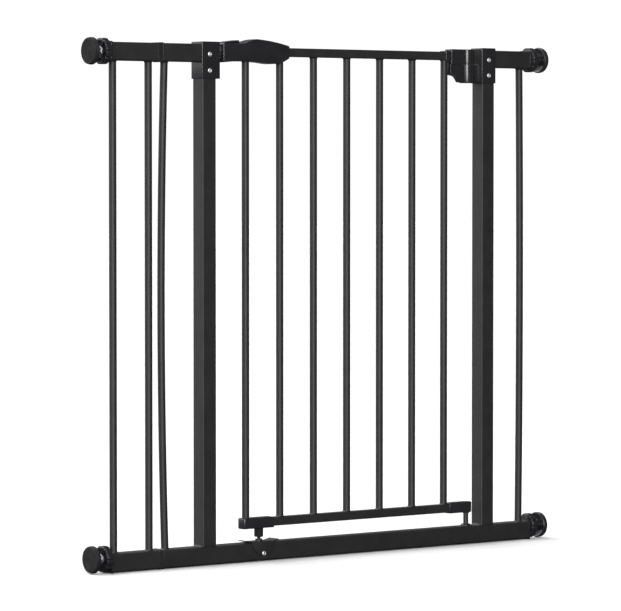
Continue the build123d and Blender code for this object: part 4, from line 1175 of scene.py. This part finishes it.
class GATE_OT_spindles(GateOperator, bpy.types.Operator):
    """Make the four clamping spindles: wheel, nut, threaded rod, pad disc and rubber face"""

    bl_idname = "gate.spindles"
    bl_label = "Clamping Spindles"

    def wheel(self, corner, side, z):
        """Notched wheel with six pockets and a seat for its nut."""
        place = along_x(side, z)
        inner, outer = span_out(f"wheel_{corner}")
        radius, points, notches, notch_depth = mm(19), 180, 12, mm(1.3)
        outline = []
        for n in range(points):
            angle = math.tau * n / points
            notch = max(0.0, math.cos(notches * angle)) ** 3
            outline.append(Vector((math.cos(angle), math.sin(angle))) * (radius - notch_depth * notch))
        levels = soft_levels(inner, outer, mm(1.5), mm(1.5))
        wheel = plain_object(f"wheel_{corner}_moulding", slab(outline, levels, place))
        seat = circle(NUT_RADIUS + NUT_PLAY, 6, start=math.pi / 6)
        tools = [
            slab(seat, [(outer - mm(6.05), 0), (outer + mm(1), 0)], place),
            rod_solid(ROD_HOLE, inner - mm(1), outer + mm(1), place),
        ]
        pockets, span = 6, math.radians(42)
        for n in range(pockets):
            start = math.tau * (n + 0.5) / pockets - span / 2
            sector = circle(mm(15.6), 10, start=start, turn=span)
            sector += list(reversed(circle(mm(9.6), 8, start=start, turn=span)))
            tools.append(slab(sector, steps_from(outer, (-4, 0.3), (-3.6, 0), (1, 0)), place))
        cut_from(wheel, *tools)
        finish_piece(wheel, f"wheel_{corner}", "black_plastic", [f"wheel_{corner}"])
        inner, outer = span_out(f"wheel_nut_{corner}")
        hexagon = circle(NUT_RADIUS, 6, start=math.pi / 6)
        levels = soft_levels(inner, outer, mm(0.2), mm(0.45), steps=3)
        nut = plain_object(f"nut_{corner}", slab(hexagon, levels, place))
        cut_from(nut, rod_solid(NUT_THREAD, inner - mm(1), outer + mm(1), place))
        finish_piece(nut, f"wheel_{corner}", "zinc_steel", [f"wheel_nut_{corner}"])

    def rod(self, corner, side, z):
        """Rod with a real helical thread."""
        sizes = bpy.context.scene.gate_sizes
        start, end = span_out(f"threaded_rod_{corner}")
        crest = half_depth(f"threaded_rod_{corner}")
        root = crest - sizes.thread_depth
        flank = root + sizes.thread_depth * 0.5
        pitch = sizes.thread_pitch
        form = (root, flank, crest, crest, flank)
        steps, sides, weld = len(form), 24, 1e-6
        turns = math.ceil((end - start) / pitch) + 2
        place = along_x(side, z)
        bm = bmesh.new()
        grid = []
        for k in range((turns + 1) * steps):
            row = []
            for n in range(sides):
                w = start - pitch + pitch * (k / steps + n / sides)
                held = min(max(w, start), end)
                r = form[k % steps]
                run_out = min(held - start, end - held) / mm(0.8)
                if run_out < 1:
                    r = min(r, root + (crest - root) * run_out)
                if held != w:
                    r = root
                angle = math.tau * n / sides
                row.append(bm.verts.new(place(r * math.cos(angle), r * math.sin(angle), held)))
            grid.append(row)
        for k in range(len(grid) - 1):
            for n in range(sides):
                if n + 1 < sides:
                    bm.faces.new((grid[k][n], grid[k][n + 1], grid[k + 1][n + 1], grid[k + 1][n]))
                elif k + 1 + steps < len(grid):
                    bm.faces.new((grid[k][n], grid[k + steps][0], grid[k + 1 + steps][0], grid[k + 1][n]))
        bmesh.ops.remove_doubles(bm, verts=bm.verts, dist=weld)
        bmesh.ops.dissolve_degenerate(bm, edges=bm.edges, dist=weld)
        bmesh.ops.holes_fill(bm, edges=bm.edges, sides=0)
        loose = [v for v in bm.verts if not v.link_faces]
        bmesh.ops.delete(bm, geom=loose, context="VERTS")
        bmesh.ops.recalc_face_normals(bm, faces=bm.faces)
        rod = plain_object(f"threaded_rod_{corner}_cut", bm)
        finish_piece(rod, f"spindle_{corner}", "zinc_steel", [f"threaded_rod_{corner}"], sharp=50)

    def pad(self, corner, side, z):
        """Pad disc with a thin rim, a dished back and a boss, and its grooved rubber face."""
        place = along_x(side, z)
        boss, outer = span_out(f"pad_disc_{corner}")
        rim = outer - mm(4.5)
        radius = half_depth(f"pad_disc_{corner}")
        floor = rim + mm(2.4)
        seat = boss + mm(5.5)
        profile = steps_from(seat, (0, 0), (0, 4)) + steps_from(boss, (0, 4), (0, 6.4), (0.2, 6.85), (0.6, 7))
        profile += steps_from(
            floor, (-0.2, 7.1), (0, 7.6), (0, 9.5), (-0.2, 12), (-0.55, 14), (-1.05, 15.6), (-1.65, 16.9)
        )
        profile += steps_from(rim, (0.15, 17.7), (0, 18.0), (0, 18.3), (0.2, 18.9), (0.6, 19.4), (1.1, 19.7))
        profile += [
            (rim + mm(1.7), radius), (outer - mm(0.3), radius), (outer, radius - mm(0.3)), (outer, 0),
        ]
        disc = plain_object(f"pad_{corner}_disc", turned(profile, place, 72))
        finish_piece(disc, f"spindle_{corner}", "black_plastic", [f"pad_disc_{corner}"])
        inner, face = span_out(f"pad_rubber_{corner}")
        radius = half_depth(f"pad_rubber_{corner}")
        edge, steps = mm(1.8), 5
        profile = [(inner, 0), (inner, radius), (face - edge, radius)]
        for n in range(1, steps + 1):
            angle = math.pi / 2 * n / steps
            profile.append((face - edge * (1 - math.sin(angle)), radius - edge * (1 - math.cos(angle))))
        for groove in (15.2, 12.2, 9.2, 6.2, 3.2):
            profile += steps_from(face, (0, groove), (-0.6, groove - 0.25), (-0.6, groove - 0.85), (0, groove - 1.1))
        profile.append((face, 0))
        rubber = plain_object(f"pad_{corner}_rubber", turned(profile, place, 72))
        finish_piece(rubber, f"spindle_{corner}", "black_rubber", [f"pad_rubber_{corner}"])

    def execute(self, context):
        for corner in CORNERS:
            place = middle(f"wheel_{corner}")
            side = 1 if place.x > 0 else -1
            self.wheel(corner, side, place.z)
            self.rod(corner, side, place.z)
            self.pad(corner, side, place.z)
        return {"FINISHED"}


class GATE_OT_rivets(GateOperator, bpy.types.Operator):
    """Set the dimpled rivets of the brackets and the catch plate"""

    bl_idname = "gate.rivets"
    bl_label = "Rivets"

    def execute(self, context):
        profile = steps_from(
            0, (-4.2, 0), (-4.2, 2), (-0.05, 2), (-0.05, 3.5), (0.1, 3.6), (0.45, 3.55), (0.85, 3.2),
            (1.15, 2.7), (1.3, 2.1), (1.28, 1.75), (1.1, 1.5), (0.75, 1.3), (0.7, 0),
        )
        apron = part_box("catch_plate")[0].y
        places = [(mm(-124), apron, mm(11.6), -1)]
        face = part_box("latch_bracket")[1].y
        for post in ("left_post", "right_post"):
            for z in (mm(722.2), mm(746)):
                places += [(middle(post).x, -face, z, -1), (middle(post).x, face, z, 1)]
        heads = [
            turned(profile, lambda u, v, w, x=x, y=y, z=z, out=out: Vector((x + u, y + out * w, z + v)), 40)
            for x, y, z, out in places
        ]
        finish_piece(gather("rivet_heads", heads), "frame", "bright_steel", ["rivets"])
        return {"FINISHED"}


class GATE_OT_stage(GateOperator, bpy.types.Operator):
    """Lay the floor, set the soft studio light and place the camera"""

    bl_idname = "gate.stage"
    bl_label = "Studio"

    def floor(self, studio):
        """Plain pale floor."""
        rim = [Vector((p.x, p.y, -mm(0.3))) for p in circle(studio.floor_size, 64)]
        bm = bmesh.new()
        bm.faces.new([bm.verts.new(p) for p in rim])
        floor = plain_object("floor", bm)
        pale = bpy.data.materials.new("pale_floor")
        pale.use_nodes = True
        tree = pale.node_tree
        shader = tree.nodes["Principled BSDF"]
        shader.inputs["Roughness"].default_value = 0.9
        path = tree.nodes.new("ShaderNodeLightPath")
        tone = tree.nodes.new("ShaderNodeMix")
        tone.data_type = "RGBA"
        tone.inputs["A"].default_value = (*[studio.floor_bounce] * 3, 1)
        tone.inputs["B"].default_value = (*[FLOOR_TONE] * 3, 1)
        tree.links.new(path.outputs["Is Camera Ray"], tone.inputs["Factor"])
        tree.links.new(tone.outputs["Result"], shader.inputs["Base Color"])
        floor.data.materials.append(pale)

    def sky(self, studio):
        """White all round, with light that is stronger from the left and the back."""
        world = bpy.data.worlds.new("studio")
        bpy.context.scene.world = world
        world.use_nodes = True
        tree = world.node_tree
        tree.nodes.clear()
        new, link = tree.nodes.new, tree.links.new
        place = new("ShaderNodeTexCoord")
        turn = new("ShaderNodeVectorMath")
        turn.operation = "DOT_PRODUCT"
        turn.inputs[1].default_value = Vector(BRIGHT_SIDE).normalized()
        link(place.outputs["Generated"], turn.inputs[0])
        level = new("ShaderNodeMapRange")
        level.interpolation_type = "SMOOTHSTEP"
        level.inputs["From Min"].default_value = DIM_EDGE
        level.inputs["From Max"].default_value = BRIGHT_EDGE
        level.inputs["To Min"].default_value = studio.sky_dim
        level.inputs["To Max"].default_value = studio.sky_bright
        link(turn.outputs["Value"], level.inputs["Value"])
        soft = new("ShaderNodeBackground")
        link(level.outputs["Result"], soft.inputs["Strength"])
        white = new("ShaderNodeBackground")
        white.inputs["Strength"].default_value = BACKDROP_LEVEL
        for shade in (soft, white):
            shade.inputs["Color"].default_value = (1, 1, 1, 1)
        path = new("ShaderNodeLightPath")
        mix = new("ShaderNodeMixShader")
        link(path.outputs["Is Camera Ray"], mix.inputs["Fac"])
        link(soft.outputs["Background"], mix.inputs[1])
        link(white.outputs["Background"], mix.inputs[2])
        link(mix.outputs["Shader"], new("ShaderNodeOutputWorld").inputs["Surface"])

    def lights(self, studio):
        """Wide light from above and a tall strip in front."""
        top = bpy.data.lights.new("top_light", "SUN")
        top.energy = studio.top_strength
        top.angle = TOP_SPREAD
        lamp = bpy.data.objects.new("top_light", top)
        lamp.location = TOP_PLACE
        lamp.rotation_euler = TOP_TURN
        bpy.context.scene.collection.objects.link(lamp)
        strip = bpy.data.lights.new("strip_light", "AREA")
        strip.shape = "RECTANGLE"
        strip.size, strip.size_y = STRIP_WIDTH, STRIP_HEIGHT
        strip.energy = studio.strip_power
        lamp = bpy.data.objects.new("strip_light", strip)
        lamp.location = STRIP_PLACE
        aim = Vector(STRIP_AIM) - lamp.location
        lamp.rotation_euler = aim.to_track_quat("-Z", "Y").to_euler()
        bpy.context.scene.collection.objects.link(lamp)

    def camera(self, studio):
        """Long lens from the front left, a little above the middle of the gate."""
        lens = bpy.data.cameras.new("camera")
        lens.lens = studio.lens
        lens.sensor_width = 36
        lens.clip_end = 200
        camera = bpy.data.objects.new("camera", lens)
        camera.location = CAMERA_PLACE
        camera.rotation_euler = (CAMERA_TILT, 0, CAMERA_TURN)
        bpy.context.scene.collection.objects.link(camera)
        bpy.context.scene.camera = camera

    def execute(self, context):
        studio = context.scene.gate_studio
        self.floor(studio)
        self.sky(studio)
        self.lights(studio)
        self.camera(studio)
        context.scene.view_settings.view_transform = "Standard"
        return {"FINISHED"}


OPERATORS = (
    GATE_OT_tubes,
    GATE_OT_bars,
    GATE_OT_welds,
    GATE_OT_brackets,
    GATE_OT_hinges,
    GATE_OT_foot,
    GATE_OT_handle,
    GATE_OT_plugs,
    GATE_OT_spindles,
    GATE_OT_rivets,
    GATE_OT_stage,
)


class GATE_PT_steps(bpy.types.Panel):
    """Lists the steps of the build"""

    bl_idname = "GATE_PT_steps"
    bl_label = "Safety Gate"
    bl_space_type = "VIEW_3D"
    bl_region_type = "UI"
    bl_category = "Gate"

    def draw(self, context):
        for settings in (context.scene.gate_sizes, context.scene.gate_finishes, context.scene.gate_studio):
            column = self.layout.column(align=True)
            for name in settings.__annotations__:
                column.prop(settings, name)
        column = self.layout.column(align=True)
        for step in OPERATORS:
            column.operator(step.bl_idname)


GROUPS = (("gate_sizes", GateSizes), ("gate_finishes", GateFinishes), ("gate_studio", GateStudio))


def register():
    """Add the settings, the steps and the panel to Blender."""
    for name, group in GROUPS:
        bpy.utils.register_class(group)
        setattr(bpy.types.Scene, name, PointerProperty(type=group))
    for step in (*OPERATORS, GATE_PT_steps):
        bpy.utils.register_class(step)


def unregister():
    """Take back what register added."""
    for step in reversed((*OPERATORS, GATE_PT_steps)):
        bpy.utils.unregister_class(step)
    for name, group in reversed(GROUPS):
        delattr(bpy.types.Scene, name)
        bpy.utils.unregister_class(group)


def main():
    """Build every piece in order."""
    register()
    for step in OPERATORS:
        area, name = step.bl_idname.split(".")
        getattr(getattr(bpy.ops, area), name)()


if __name__ == "__main__":
    main()
